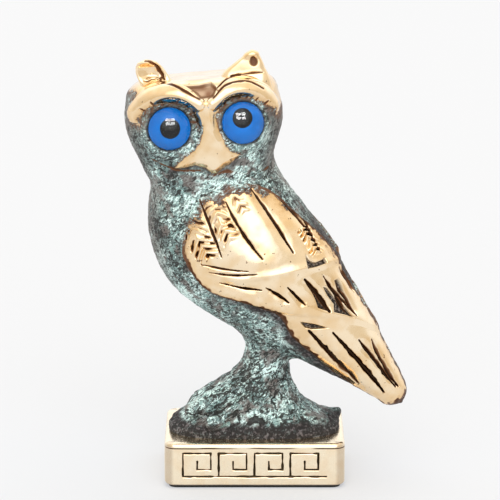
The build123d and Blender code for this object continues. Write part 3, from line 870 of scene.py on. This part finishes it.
def block_ring(count, long_side, short_side, corner):
    """Rounded rectangle walked once round: unit outward ways and the centre line that they start from."""
    front = np.linspace(-1, 1, count)[:-1] * (long_side / 2 - corner)
    side = np.linspace(-1, 1, count // 5)[:-1] * (short_side / 2 - corner)
    bend = np.linspace(0, pi / 2, 14)[:-1]
    half_x, half_y = long_side / 2 - corner, short_side / 2 - corner
    core, ways = [], []
    lines = [(front, 0, -1), (side, 1, 0), (-front[::3], 0, 1), (-side, -1, 0)]
    for n, (walk, wx, wy) in enumerate(lines):
        x = walk if wx == 0 else np.full(len(walk), wx * half_x)
        y = walk if wy == 0 else np.full(len(walk), wy * half_y)
        core.append(np.stack([x, y], 1))
        ways.append(np.tile([[wx, wy]], (len(walk), 1)))
        turn = -pi / 2 + n * pi / 2 + bend
        cx = half_x if n in (0, 1) else -half_x
        cy = half_y if n in (1, 2) else -half_y
        core.append(np.tile([[cx, cy]], (len(bend), 1)))
        ways.append(np.stack([np.cos(turn), np.sin(turn)], 1))
    return np.concatenate(core), np.concatenate(ways).astype(float)


def make_plinth(sizes):
    """Plinth: rings of a rounded rectangle, following a profile with a round foot and a rounder top edge.
    The key border is sunk into the front by a groove whose depth eases from its middle to its sides."""
    long_side = (PLINTH_HIGH.x - PLINTH_LOW.x) / MM
    short_side = (PLINTH_HIGH.y - PLINTH_LOW.y) / MM
    corner_radius, foot, top = 2.2, 0.7, 0.8
    core, ways = block_ring(400, long_side, short_side, corner_radius)
    bend = np.linspace(0, pi / 2, 9)
    tall = PLINTH_TOP - PLINTH_FOOT
    profile = np.concatenate([
        [(-corner_radius, 0.0)],
        np.stack([-foot + foot * np.sin(bend), foot - foot * np.cos(bend)], 1),
        np.stack([np.zeros(76), np.linspace(foot, tall - top, 78)[1:-1]], 1),
        np.stack([-top + top * np.cos(bend), tall - top + top * np.sin(bend)], 1),
        [(-1.6, tall), (-2.15, tall)],
    ])
    radius = corner_radius + profile[:, :1]
    flat = core[None] + ways[None] * radius[..., None]
    p = np.concatenate([flat, np.broadcast_to(profile[:, 1, None, None], flat.shape[:2] + (1,))], -1)
    p[..., 2] += PLINTH_FOOT - PLINTH_TOP
    n = np.concatenate([np.broadcast_to(ways[None], flat.shape), np.zeros(flat.shape[:2] + (1,))], -1)
    above_foot = p[..., 2] + PLINTH_TOP - PLINTH_FOOT
    on_front = ease(0.6, 0.9, -n[..., 1]) * ease(-1.3, -1.0, profile[:, :1])
    level = p[..., 2] + PLINTH_TOP - KEY_LEVEL
    gap = key_border(p[..., 0], level) + 0.05 * lumps(p, 1.1, 4) + 0.10 * lumps(p, 0.8, 14)
    cut = ease(sizes.key_width / 2 + 0.14, sizes.key_width / 2 - 0.12, gap) * on_front
    sag = 0.04 + 0.05 * lumps(p, 5.0, 8) + 0.02 * lumps(p, 1.7, 9)
    p = p - n * (sizes.key_depth * cut + np.maximum(sag, 0))[..., None]
    shoulder = tall - top - above_foot
    line = ease(0.16, 0.02, np.abs(shoulder - 0.12 - 0.06 * lumps(p, 3.0, 3)))
    cut = np.maximum(cut, 0.8 * line * ease(-0.3, 0.3, lumps(p, 4.0, 5) + 0.4))
    # Painted shade along the foot and a painted darker reflection on the rounded upright corners, kept in the
    # edge mark
    corner = 0.45 * ease(0.12, 0.42, np.abs(n[..., 0] * n[..., 1]))
    return tube_mesh("owl_plinth", p, {"cut": cut, "edge": np.maximum(ease(0.45, 0.1, above_foot), corner)})


def turned(name, middle, axis, profile, columns=128):
    """A turned piece: the profile of (radius, place along the axis) swept once round the axis."""
    profile = np.array(profile, float)
    side = np.cross(np.array([0, 0, 1.0]), axis)
    side /= np.linalg.norm(side)
    up = np.cross(axis, side)
    turn = turns(columns)
    round_ = np.cos(turn)[:, None] * side + np.sin(turn)[:, None] * up
    p = middle + profile[:, 0, None, None] * round_[None] + profile[:, 1, None, None] * axis
    return tube_mesh(name, p)


def make_eye(side):
    """Glass dome, iris and pupil of one eye, turned about its axis. The dome is a cap of a sphere."""
    eye = EYES[side]
    middle, axis, front = eye["middle"], eye["axis"], eye["front"]
    wide = eye["glass"] - EYE_NARROWER
    dome, shoulder = EYE_DOME, front - EYE_DOME
    ball = (wide**2 + dome**2) / (2 * dome)
    angle = np.linspace(np.arcsin(wide / ball), 0.01, 26)
    profile = [(0.05, 0.05), (wide * 0.5, 0.05), (wide - 0.06, 0.05), (wide, 0.11), (wide, shoulder - 0.03)]
    profile += [(ball * sin(a), front - ball + ball * cos(a)) for a in angle[1:]]
    glass = turned(f"owl_{side}_eye", middle, axis, profile)
    disc = [
        (0.05, -0.24), (wide - 0.06, -0.24), (wide - 0.04, -0.1), (wide - 0.04, 0.1), (wide - 0.1, 0.16),
        (0.05, 0.16),
    ]
    iris = turned(f"owl_{side}_iris", middle, axis, disc)
    across = np.array([cos(HEAD_ROLL), 0, sin(HEAD_ROLL)])
    across = across - (across @ axis) * axis
    up = np.cross(across, axis)
    up = up if up[2] > 0 else -up
    shift_across, shift_up = PUPIL_SHIFT[side]
    seat = middle + across * shift_across + up * shift_up
    rim = PUPIL_RADIUS
    spot = [(0.02, 0.1), (rim - 0.05, 0.1), (rim, 0.14), (rim - 0.04, 0.2), (0.02, 0.22)]
    pupil = turned(f"owl_{side}_pupil", seat, axis, spot, 96)
    rim = wide - 0.04
    bed = [(0.05, -0.38), (wide - 0.06, -0.38), (rim, -0.34), (rim, -0.28), (0.05, -0.26)]
    cement = turned(f"owl_{side}_bedding", middle, axis, bed)
    return glass, iris, pupil, cement


# ---- Finishes ----
def feed(tree, node, inputs):
    """Sets a node's inputs. A node or socket among the values is linked, and anything else is a value."""
    for name, value in inputs.items():
        socket = node.inputs[name]
        if isinstance(value, bpy.types.Node):
            value = value.outputs[2 if value.bl_idname == "ShaderNodeMix" else 0]
        if isinstance(value, bpy.types.NodeSocket):
            tree.links.new(value, socket)
        else:
            socket.default_value = (*value, 1.0) if socket.type == "RGBA" and len(value) == 3 else value


def add(tree, kind, inputs=None, **settings):
    """Adds a node with these settings and inputs."""
    node = tree.nodes.new(kind)
    for name, value in settings.items():
        setattr(node, name, value)
    feed(tree, node, inputs or {})
    return node


def math(tree, operation, a, b=0.0, c=0.0):
    """One arithmetic node."""
    return add(tree, "ShaderNodeMath", {0: a, 1: b, 2: c}, operation=operation)


def between(tree, value, low, high, to_low=0.0, to_high=1.0):
    """Smooth change from one value to another between two limits."""
    inputs = {"Value": value, "From Min": low, "From Max": high, "To Min": to_low, "To Max": to_high}
    return add(tree, "ShaderNodeMapRange", inputs, interpolation_type="SMOOTHSTEP")


def mixed(tree, share, first, second):
    """Mix of two colours."""
    return add(tree, "ShaderNodeMix", {0: share, 6: first, 7: second}, data_type="RGBA")


def vector_math(tree, operation, a, b):
    """One node of arithmetic on vectors."""
    return add(tree, "ShaderNodeVectorMath", {0: a, 1: b}, operation=operation)


def new_group(name, inputs, outputs):
    """An empty node group with these sockets, each a name and a kind."""
    group = bpy.data.node_groups.new(name, "ShaderNodeTree")
    for way, sockets in (("INPUT", inputs), ("OUTPUT", outputs)):
        for title, kind in sockets:
            group.interface.new_socket(title, in_out=way, socket_type=f"NodeSocket{kind}")
    return group, group.nodes.new("NodeGroupInput").outputs, group.nodes.new("NodeGroupOutput")


def place_in_mm(tree):
    """Object place in millimetres."""
    where = tree.nodes.new("ShaderNodeTexCoord")
    return vector_math(tree, "MULTIPLY", where.outputs["Object"], (1000, 1000, 1000))


def noise(tree, place, scale, detail=2.0, roughness=0.5, distortion=0.0):
    """Noise from 0 to 1."""
    inputs = {
        "Vector": place, "Scale": scale, "Detail": detail, "Roughness": roughness, "Distortion": distortion
    }
    return add(tree, "ShaderNodeTexNoise", inputs)


def verdigris(group, place, pit, side_shade, look):
    """Colour of rough bronze: green, lighter in drifts and on grains, near black in flecks, brown in random
    parts, and painted brown shade on the sides that face x. Flecks and grains are drawn out along a slant."""
    slant = {"Vector": place, "Angle": radians(38)}
    tilted = add(group, "ShaderNodeVectorRotate", slant, rotation_type="Y_AXIS")
    strokes = vector_math(group, "MULTIPLY", tilted, (0.62, 1.0, 1.25))
    drift = noise(group, place, 0.6, 5.0, 0.65, 0.6)
    fleck = noise(group, strokes, 1.45, 3.0, 0.62, 1.0)
    grain = noise(group, vector_math(group, "ADD", strokes, (7, 41, 23)), 2.0, 4.0, 0.65, 0.8)
    broad = noise(group, place, 0.28, 3.0, 0.6)
    cloud = math(group, "MULTIPLY_ADD", noise(group, place, 0.15), 0.5, -0.25)
    green = mixed(group, between(group, drift, 0.40, 0.60), look.patina, look.patina_mid)
    lit = between(group, math(group, "ADD", grain, cloud), 0.495, 0.585, 0.0, 0.95)
    green = mixed(group, lit, green, look.patina_light)
    # Painted shade: brown on the sides that face x, towards the silhouette
    side = math(group, "MULTIPLY", side_shade, between(group, drift, 0.35, 0.55, 0.25, 0.85))
    brown_and_side_shade = math(group, "MAXIMUM", between(group, broad, 0.50, 0.62, 0.0, 0.8), side)
    green = mixed(group, brown_and_side_shade, green, look.patina_brown_and_side_shade)
    low = math(group, "MULTIPLY_ADD", pit, 0.06, math(group, "MULTIPLY_ADD", cloud, 0.5, fleck))
    return mixed(group, between(group, low, 0.475, 0.435, 0.0, 0.95), green, look.patina_dark)


# The marks that the bird's pieces carry, as the names of the finish's inputs
MARKS = ("Polish", "Cut", "Hollow_shade", "Soot_and_shade", "Pit", "Side_shade")


def hand_polish_group(look):
    """Where cast bronze is rubbed bright: colour, roughness, metal and bump height."""
    group, give, take = new_group(
        "hand_polish",
        [("Place", "Vector")] + [(name, "Float") for name in MARKS],
        [("Color", "Color"), ("Roughness", "Float"), ("Metallic", "Float"), ("Height", "Float")],
    )
    place = give["Place"]
    fine = noise(group, place, 1.3, 4.0, 0.65)
    broad = noise(group, place, 0.22)
    speck = noise(group, place, 2.6, 2.0, 0.7)
    spots = noise(group, place, 1.2)
    ragged = math(group, "MULTIPLY_ADD", fine, look.raggedness, -0.5 * look.raggedness)
    edge = math(group, "ADD", give["Polish"], ragged)
    mask = between(group, edge, -0.12, 0.15)

    # Rubbed metal, with rare dark spots, amber and then brown towards the border of the rubbed places
    rubbed = mixed(group, between(group, broad, 0.4, 0.7), look.gold, look.gold_deep)
    for share, over in (
        (between(group, edge, 2.6, 0.6, 0.0, 0.75), look.gold_deep),
        (between(group, edge, 1.0, 0.15, 0.0, 0.65), look.amber),
        (between(group, spots, 0.70, 0.745, 0.0, 0.85), look.tarnish_and_edge_shade),
        (between(group, edge, 0.3, 0.0, 0.0, 0.9), look.tarnish_and_edge_shade),
    ):
        rubbed = mixed(group, share, rubbed, over)

    # Rough metal, browned in specks just outside the rubbed places
    near = between(group, edge, -1.2, -0.1, 0.0, 0.9)
    fringe = math(group, "MULTIPLY", near, between(group, speck, 0.4, 0.55))
    green = verdigris(group, place, give["Pit"], give["Side_shade"], look)
    green = mixed(group, fringe, green, look.tarnish_and_edge_shade)

    # Painted brown reflection and shade in hollows, painted shade with the darker foot of the mound, and cut
    # lines over both, each cut with a brown fringe
    soot_and_shade_share = math(group, "MULTIPLY", give["Soot_and_shade"], between(group, speck, 0.7, 0.45, 0.8, 1.0))
    soot_and_shade_colour = mixed(group, between(group, fine, 0.5, 0.64, 0.0, 0.65), look.soot_and_shade, look.pale_soot_and_shade)
    final = mixed(group, mask, green, rubbed)
    for share, over in (
        (give["Hollow_shade"], look.hollow_shade),
        (soot_and_shade_share, soot_and_shade_colour),
        (between(group, give["Cut"], 0.03, 0.45), look.tarnish_and_edge_shade),
        (between(group, give["Cut"], 0.5, 0.95, 0.0, 0.97), look.cut),
    ):
        final = mixed(group, share, final, over)

    dull = math(group, "MAXIMUM", math(group, "MAXIMUM", give["Cut"], give["Soot_and_shade"]), give["Hollow_shade"])
    rough = between(group, mask, 0.0, 1.0, look.patina_roughness, look.gold_roughness)
    rough = math(group, "ADD", rough, between(group, speck, 0.45, 0.8, 0.0, 0.08))
    metal = between(group, mask, 0.0, 1.0, look.patina_metal, 1.0)
    pitted = math(group, "MULTIPLY", fine, between(group, mask, 0.0, 1.0, 1.0, 0.0))
    wavy = math(group, "MULTIPLY", noise(group, place, 0.6, 1.0), 0.3)
    feed(group, take, {
        "Color": final,
        "Roughness": math(group, "ADD", rough, math(group, "MULTIPLY", dull, 0.3)),
        "Metallic": math(group, "MULTIPLY", metal, between(group, give["Hollow_shade"], 0.0, 1.0, 1.0, 0.45)),
        "Height": math(group, "ADD", pitted, wavy),
    })
    return group


def mark(tree, name):
    """A mesh's own number."""
    return add(tree, "ShaderNodeAttribute", attribute_name=name).outputs["Fac"]


def new_material(name):
    """A fresh material, with its node tree and its shader."""
    material = bpy.data.materials.new(name)
    material.use_nodes = True
    return material, material.node_tree, material.node_tree.nodes["Principled BSDF"]


def bronze_material(name, look):
    """Cast bronze with verdigris and hand-rubbed places."""
    material, tree, shader = new_material(name)
    finish = add(tree, "ShaderNodeGroup", node_tree=hand_polish_group(look))
    feed(tree, finish, {"Place": place_in_mm(tree), **{name: mark(tree, name.lower()) for name in MARKS}})
    bump = {"Height": finish.outputs["Height"], "Strength": 0.6, "Distance": 0.0002}
    inputs = {"Normal": add(tree, "ShaderNodeBump", bump), "Base Color": finish.outputs["Color"]}
    inputs.update({name: finish.outputs[name] for name in ("Roughness", "Metallic")})
    feed(tree, shader, inputs)
    return material


def plinth_material(name, look):
    """Polished bronze, slightly clouded, with browned engraving."""
    material, tree, shader = new_material(name)
    place = place_in_mm(tree)
    cloud = noise(tree, place, 0.35, 4.0, 0.6)
    fine = noise(tree, place, 2.0, 3.0, 0.6)
    cut = mark(tree, "cut")
    base = mixed(tree, between(tree, cloud, 0.4, 0.68), look.bright, look.gold)
    # The edge mark paints shade along the foot and a darker reflection on the corners.
    for share, over in (
        (math(tree, "MULTIPLY", mark(tree, "edge"), 0.75), look.tarnish_and_edge_shade),
        (between(tree, cut, 0.05, 0.4), look.tarnish_and_edge_shade),
        (between(tree, cut, 0.35, 0.85, 0.0, 0.95), look.engraving),
    ):
        base = mixed(tree, share, base, over)
    feed(tree, shader, {
        "Base Color": base,
        "Roughness": between(tree, fine, 0.3, 0.8, 0.16, 0.3),
        "Metallic": 1.0,
        "Normal": add(tree, "ShaderNodeBump", {"Height": cloud, "Strength": 0.25, "Distance": 0.0002}),
    })
    return material


def plain_material(name, base, roughness, metallic=0.0, spread=0.12, scale=2.0, specular=0.5):
    """One colour, lightly varied by noise."""
    material, tree, shader = new_material(name)
    darker = tuple(c * (1 - spread) for c in base)
    feed(tree, shader, {
        "Base Color": mixed(tree, noise(tree, place_in_mm(tree), scale, 3.0, 0.6), base, darker),
        "Roughness": roughness,
        "Metallic": metallic,
        "Specular IOR Level": specular,
    })
    return material


def glass_material(name):
    """Clear glass."""
    material, tree, shader = new_material(name)
    feed(tree, shader, {"Base Color": (1, 1, 1), "Roughness": 0.0, "Transmission Weight": 1.0, "IOR": 1.45})
    return material


# ---- Settings ----
def size(name, description, value):
    """A size setting, in millimetres."""
    return FloatProperty(name=name, description=description, default=value, min=0)


def share(name, description, value):
    """A setting from 0 to 1."""
    return FloatProperty(name=name, description=description, default=value, min=0, max=1, subtype="FACTOR")


def tint(name, description, value):
    """A colour setting."""
    return FloatVectorProperty(
        name=name, description=description, default=value, subtype="COLOR", min=0, max=1
    )


class OwlSizes(PropertyGroup):
    """Sizes of the sculpted work, in millimetres."""

    brow_height: size("Brow height", "Rise of the brow ridges, mm", 1.5)
    beak_height: size("Beak height", "Rise of the beak, mm", 0.8)
    wing_relief: size("Wing relief", "Rise of the wing's lowest tier, mm", 0.35)
    tier_step: size("Tier step", "Step between the wing's tiers, mm", 0.3)
    feather_depth: size("Feather depth", "Depth of the feather lines, mm", 0.6)
    vane_rounding: size("Vane rounding", "Depth of the valleys between feathers, mm", 0.3)
    mound_roughness: size("Mound roughness", "Rise of the mound's lumps, mm", 0.5)
    key_depth: size("Border depth", "Depth of the key border, mm", 0.3)
    key_width: size("Border width", "Width of the key border's line, mm", 0.22)


class OwlLook(PropertyGroup):
    """Colours and roughness of the finishes."""

    gold: tint("Gold", "Rubbed bronze", (0.97, 0.80, 0.57))
    bright: tint("Bright gold", "Polished plinth", (1.0, 0.87, 0.66))
    gold_deep: tint("Deep gold", "Rubbed bronze where it is warmer", (0.88, 0.64, 0.37))
    amber: tint("Amber", "Rubbed bronze towards its border", (0.70, 0.45, 0.22))
    # Tarnish is also the plinth's painted shade along its foot and painted reflection on its corners.
    tarnish_and_edge_shade: tint("Tarnish", "Brown at the border of rubbed places", (0.16, 0.065, 0.028))
    patina: tint("Patina", "Verdigris", (0.13, 0.18, 0.178))
    patina_mid: tint("Drifts", "Verdigris in lighter drifts", (0.25, 0.40, 0.385))
    patina_light: tint("Light patina", "Verdigris on high places", (0.80, 1.0, 0.97))
    patina_dark: tint("Dark patina", "Bronze in pits", (0.018, 0.018, 0.016))
    # Brown patina is also the painted shade on the sides that face x.
    patina_brown_and_side_shade: tint("Brown patina", "Rough bronze with less verdigris", (0.14, 0.095, 0.085))
    # Painted brown reflection and shade in the hollow between the brows and in the left ear's pit.
    hollow_shade: tint("Hollow_shade", "Brown lacquer", (0.24, 0.115, 0.055))
    # These two tones paint shade under the beak, round the eyes, below the wings and in the wing's recesses,
    # and darken the bottom of the mound
    soot_and_shade: tint("Soot_and_shade", "Blackened bronze", (0.030, 0.026, 0.026))
    pale_soot_and_shade: tint("Pale soot", "Blackened bronze where it is worn", (0.25, 0.22, 0.225))
    cut: tint("Cut", "Bottom of feather lines", (0.034, 0.018, 0.010))
    engraving: tint("Engraving", "Bottom of the plinth's border", (0.05, 0.04, 0.02))
    raggedness: size("Raggedness", "Unevenness of rubbed borders, mm", 1.5)
    gold_roughness: share("Gold roughness", "Roughness of rubbed bronze", 0.12)
    patina_roughness: share("Patina roughness", "Roughness of verdigris", 0.58)
    patina_metal: share("Patina metal", "How metallic verdigris is", 0.2)


# ---- Operators ----
# Plain finishes by slot: colour, roughness and what else differs
PLAIN = {
    "iris_enamel": ((0.0032, 0.152, 0.55), 0.5, {"spread": 0.35, "scale": 0.8, "specular": 0.0}),
    "pupil_enamel": ((0.004, 0.004, 0.004), 0.5, {"specular": 0.0}),
    "felt": ((0.02, 0.022, 0.02), 0.95, {"spread": 0.4, "scale": 5.0}),
    "screw_steel": ((0.62, 0.62, 0.63), 0.3, {"metallic": 1.0}),
    "stem_wire": ((0.50, 0.50, 0.52), 0.35, {"metallic": 1.0}),
    "eye_cement": ((0.06, 0.045, 0.03), 0.8, {}),
}


def finish_of(slot):
    """A slot's material, made before or made now."""
    name = f"{slot}_finish"
    made = bpy.data.materials.get(name)
    if made:
        return made
    if slot in PLAIN:
        base, roughness, rest = PLAIN[slot]
        return plain_material(name, base, roughness, **rest)
    if slot == "eye_glass":
        return glass_material(name)
    maker = {"patinated_bronze": bronze_material, "polished_bronze": plinth_material}[slot]
    return maker(name, bpy.context.scene.owl_look)


def refinish(node, slot):
    """Gives a mesh object this finish in place of any that it has."""
    node.data.materials.clear()
    node.data.materials.append(finish_of(slot))


def dress(piece, slot, *nodes):
    """Gives a new piece the finish of its slot, parents it to the root body and hides the CAD nodes that it
    stands for.
    """
    refinish(piece, slot)
    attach(piece, "root")
    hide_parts(*nodes)


class OWL_OT_head(Operator):
    """Build the head with its brows and beak, and both ears"""

    bl_idname = "owl.head"
    bl_label = "Head"

    def execute(self, context):
        dress(make_head(context.scene.owl_sizes), "patinated_bronze", "owl_casting")
        for name in EARS:
            dress(make_ear(name), "patinated_bronze", "owl_casting")
        return {"FINISHED"}


class OWL_OT_body(Operator):
    """Build the body with its leg, toes and mound"""

    bl_idname = "owl.body"
    bl_label = "Body"

    def execute(self, context):
        dress(make_body(), "patinated_bronze", "owl_casting")
        dress(make_foot(context.scene.owl_sizes), "patinated_bronze", "owl_casting")
        return {"FINISHED"}


class OWL_OT_wings(Operator):
    """Build both wings, which run on into the tail"""

    bl_idname = "owl.wings"
    bl_label = "Wings"

    def execute(self, context):
        for name, mirror in (("owl_near_wing", False), ("owl_far_wing", True)):
            dress(make_wing(name, mirror, context.scene.owl_sizes), "patinated_bronze", "owl_casting")
        return {"FINISHED"}


class OWL_OT_eyes(Operator):
    """Build the glass eyes and finish the parts that hold them"""

    bl_idname = "owl.eyes"
    bl_label = "Eyes"

    def execute(self, context):
        for side in ("left", "right"):
            glass, iris, pupil, cement = make_eye(side)
            dress(glass, "eye_glass", f"{side}_eye_glass")
            dress(iris, "iris_enamel", f"{side}_eye_iris")
            dress(pupil, "pupil_enamel", f"{side}_eye_pupil")
            dress(cement, "eye_cement", f"{side}_eye_bedding")
            refinish(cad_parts[f"{side}_eye_stem"], "stem_wire")
        return {"FINISHED"}


class OWL_OT_plinth(Operator):
    """Build the plinth and finish its felt, screws and washers"""

    bl_idname = "owl.plinth"
    bl_label = "Plinth"

    def execute(self, context):
        dress(make_plinth(context.scene.owl_sizes), "polished_bronze", "plinth")
        refinish(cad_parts["felt_pad"], "felt")
        for name in ("plinth_screws", "plinth_washers"):
            refinish(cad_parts[name], "screw_steel")
        return {"FINISHED"}


def make_floor():
    """A pale level floor that glows a little, so that it stays as light as the surroundings."""
    half = 4.0
    corners = [(-half, -half, 0), (half, -half, 0), (half, half, 0), (-half, half, 0)]
    mesh = bpy.data.meshes.new("floor")
    mesh.from_pydata(corners, [], [(0, 1, 2, 3)])
    material, tree, shader = new_material("floor_pale")
    feed(tree, shader, {
        "Base Color": (0.42, 0.42, 0.42), "Roughness": 1.0, "Specular IOR Level": 0.0,
        "Emission Color": (0.925, 0.97, 1.05), "Emission Strength": 0.395,
    })
    mesh.materials.append(material)
    floor = bpy.data.objects.new("floor", mesh)
    bpy.context.scene.collection.objects.link(floor)


def make_surroundings():
    """White light from all round, strongest in front and above, and warm where it is weak."""
    world = bpy.data.worlds.new("tent")
    world.use_nodes = True
    bpy.context.scene.world = world
    tree = world.node_tree
    where = tree.nodes.new("ShaderNodeTexCoord").outputs["Generated"]
    parts = add(tree, "ShaderNodeSeparateXYZ", {0: where})
    front = vector_math(tree, "DOT_PRODUCT", where, (0.05, -0.85, 0.52)).outputs["Value"]
    behind = between(tree, parts.outputs["Y"], 0.0, 0.6, 0.8, 1.08)
    toward = math(tree, "MAXIMUM", between(tree, front, 0.74, 0.97, 0.77, 1.8), behind)
    above = between(tree, parts.outputs["Z"], 0.05, 0.9, 1.0, 1.5)
    feed(tree, tree.nodes["Background"], {
        "Strength": math(tree, "MULTIPLY", toward, above),
        "Color": mixed(tree, between(tree, toward, 0.78, 1.0), (1.0, 0.91, 0.76), (1.0, 1.0, 1.0)),
    })


def make_window():
    """A window of four panes in front and above, which lights only the eyes and shows in their glass."""
    target = Vector((0, 0, 0.055))
    ahead = Vector((0.075, -0.83, 0.62)).normalized()
    aside = Vector((1, 0.09, 0)).normalized()
    upward = aside.cross(ahead) * -1
    eyes = bpy.data.collections.new("lit_by_window")
    for side in EYES:
        for part in ("eye", "iris", "pupil"):
            eyes.objects.link(bpy.data.objects[f"owl_{side}_{part}"])
    for n, (across, up) in enumerate(((-1, -1), (1, -1), (-1, 1), (1, 1))):
        data = bpy.data.lights.new(f"pane_{n + 1}", "AREA")
        data.shape = "RECTANGLE"
        data.size = 0.18
        data.size_y = 0.135
        data.energy = 1.5
        lamp = bpy.data.objects.new(data.name, data)
        lamp.location = target + ahead * 0.62 + aside * (0.112 * across) + upward * (0.087 * up)
        lamp.rotation_euler = (target - lamp.location).to_track_quat("-Z", "Y").to_euler()
        lamp.visible_diffuse = False
        lamp.light_linking.receiver_collection = eyes
        bpy.context.scene.collection.objects.link(lamp)


def make_camera():
    """A long lens, looking down at the near side from this far away and at this tilt."""
    away, tilt = 0.55, radians(14)
    data = bpy.data.cameras.new("camera")
    data.sensor_width = 36
    data.lens = 207.9
    camera = bpy.data.objects.new("camera", data)
    camera.location = (-0.00086, -away * cos(tilt), 0.0438 + away * sin(tilt))
    camera.rotation_euler = (pi / 2 - tilt, 0, 0)
    bpy.context.scene.collection.objects.link(camera)
    bpy.context.scene.camera = camera


class OWL_OT_stage(Operator):
    """Build the pale floor, the soft light and the camera"""

    bl_idname = "owl.stage"
    bl_label = "Stage"

    def execute(self, context):
        make_floor()
        make_surroundings()
        make_window()
        make_camera()
        context.scene.view_settings.view_transform = "Standard"
        return {"FINISHED"}


class OWL_PT_panel(Panel):
    """Buttons and settings of the owl"""

    bl_label = "Owl"
    bl_space_type = "VIEW_3D"
    bl_region_type = "UI"
    bl_category = "Owl"

    def draw(self, context):
        for operator in OPERATORS:
            self.layout.operator(operator.bl_idname)
        for group in (context.scene.owl_sizes, context.scene.owl_look):
            for name in group.__annotations__:
                self.layout.prop(group, name)


OPERATORS = (OWL_OT_head, OWL_OT_body, OWL_OT_wings, OWL_OT_eyes, OWL_OT_plinth, OWL_OT_stage)
CLASSES = (OwlSizes, OwlLook, *OPERATORS, OWL_PT_panel)


def register():
    for kind in CLASSES:
        bpy.utils.register_class(kind)
    bpy.types.Scene.owl_sizes = PointerProperty(type=OwlSizes)
    bpy.types.Scene.owl_look = PointerProperty(type=OwlLook)


def unregister():
    del bpy.types.Scene.owl_look
    del bpy.types.Scene.owl_sizes
    for kind in reversed(CLASSES):
        bpy.utils.unregister_class(kind)


def main():
    """Builds everything."""
    register()
    bpy.ops.owl.head()
    bpy.ops.owl.body()
    bpy.ops.owl.wings()
    bpy.ops.owl.eyes()
    bpy.ops.owl.plinth()
    bpy.ops.owl.stage()


if __name__ == "__main__":
    main()
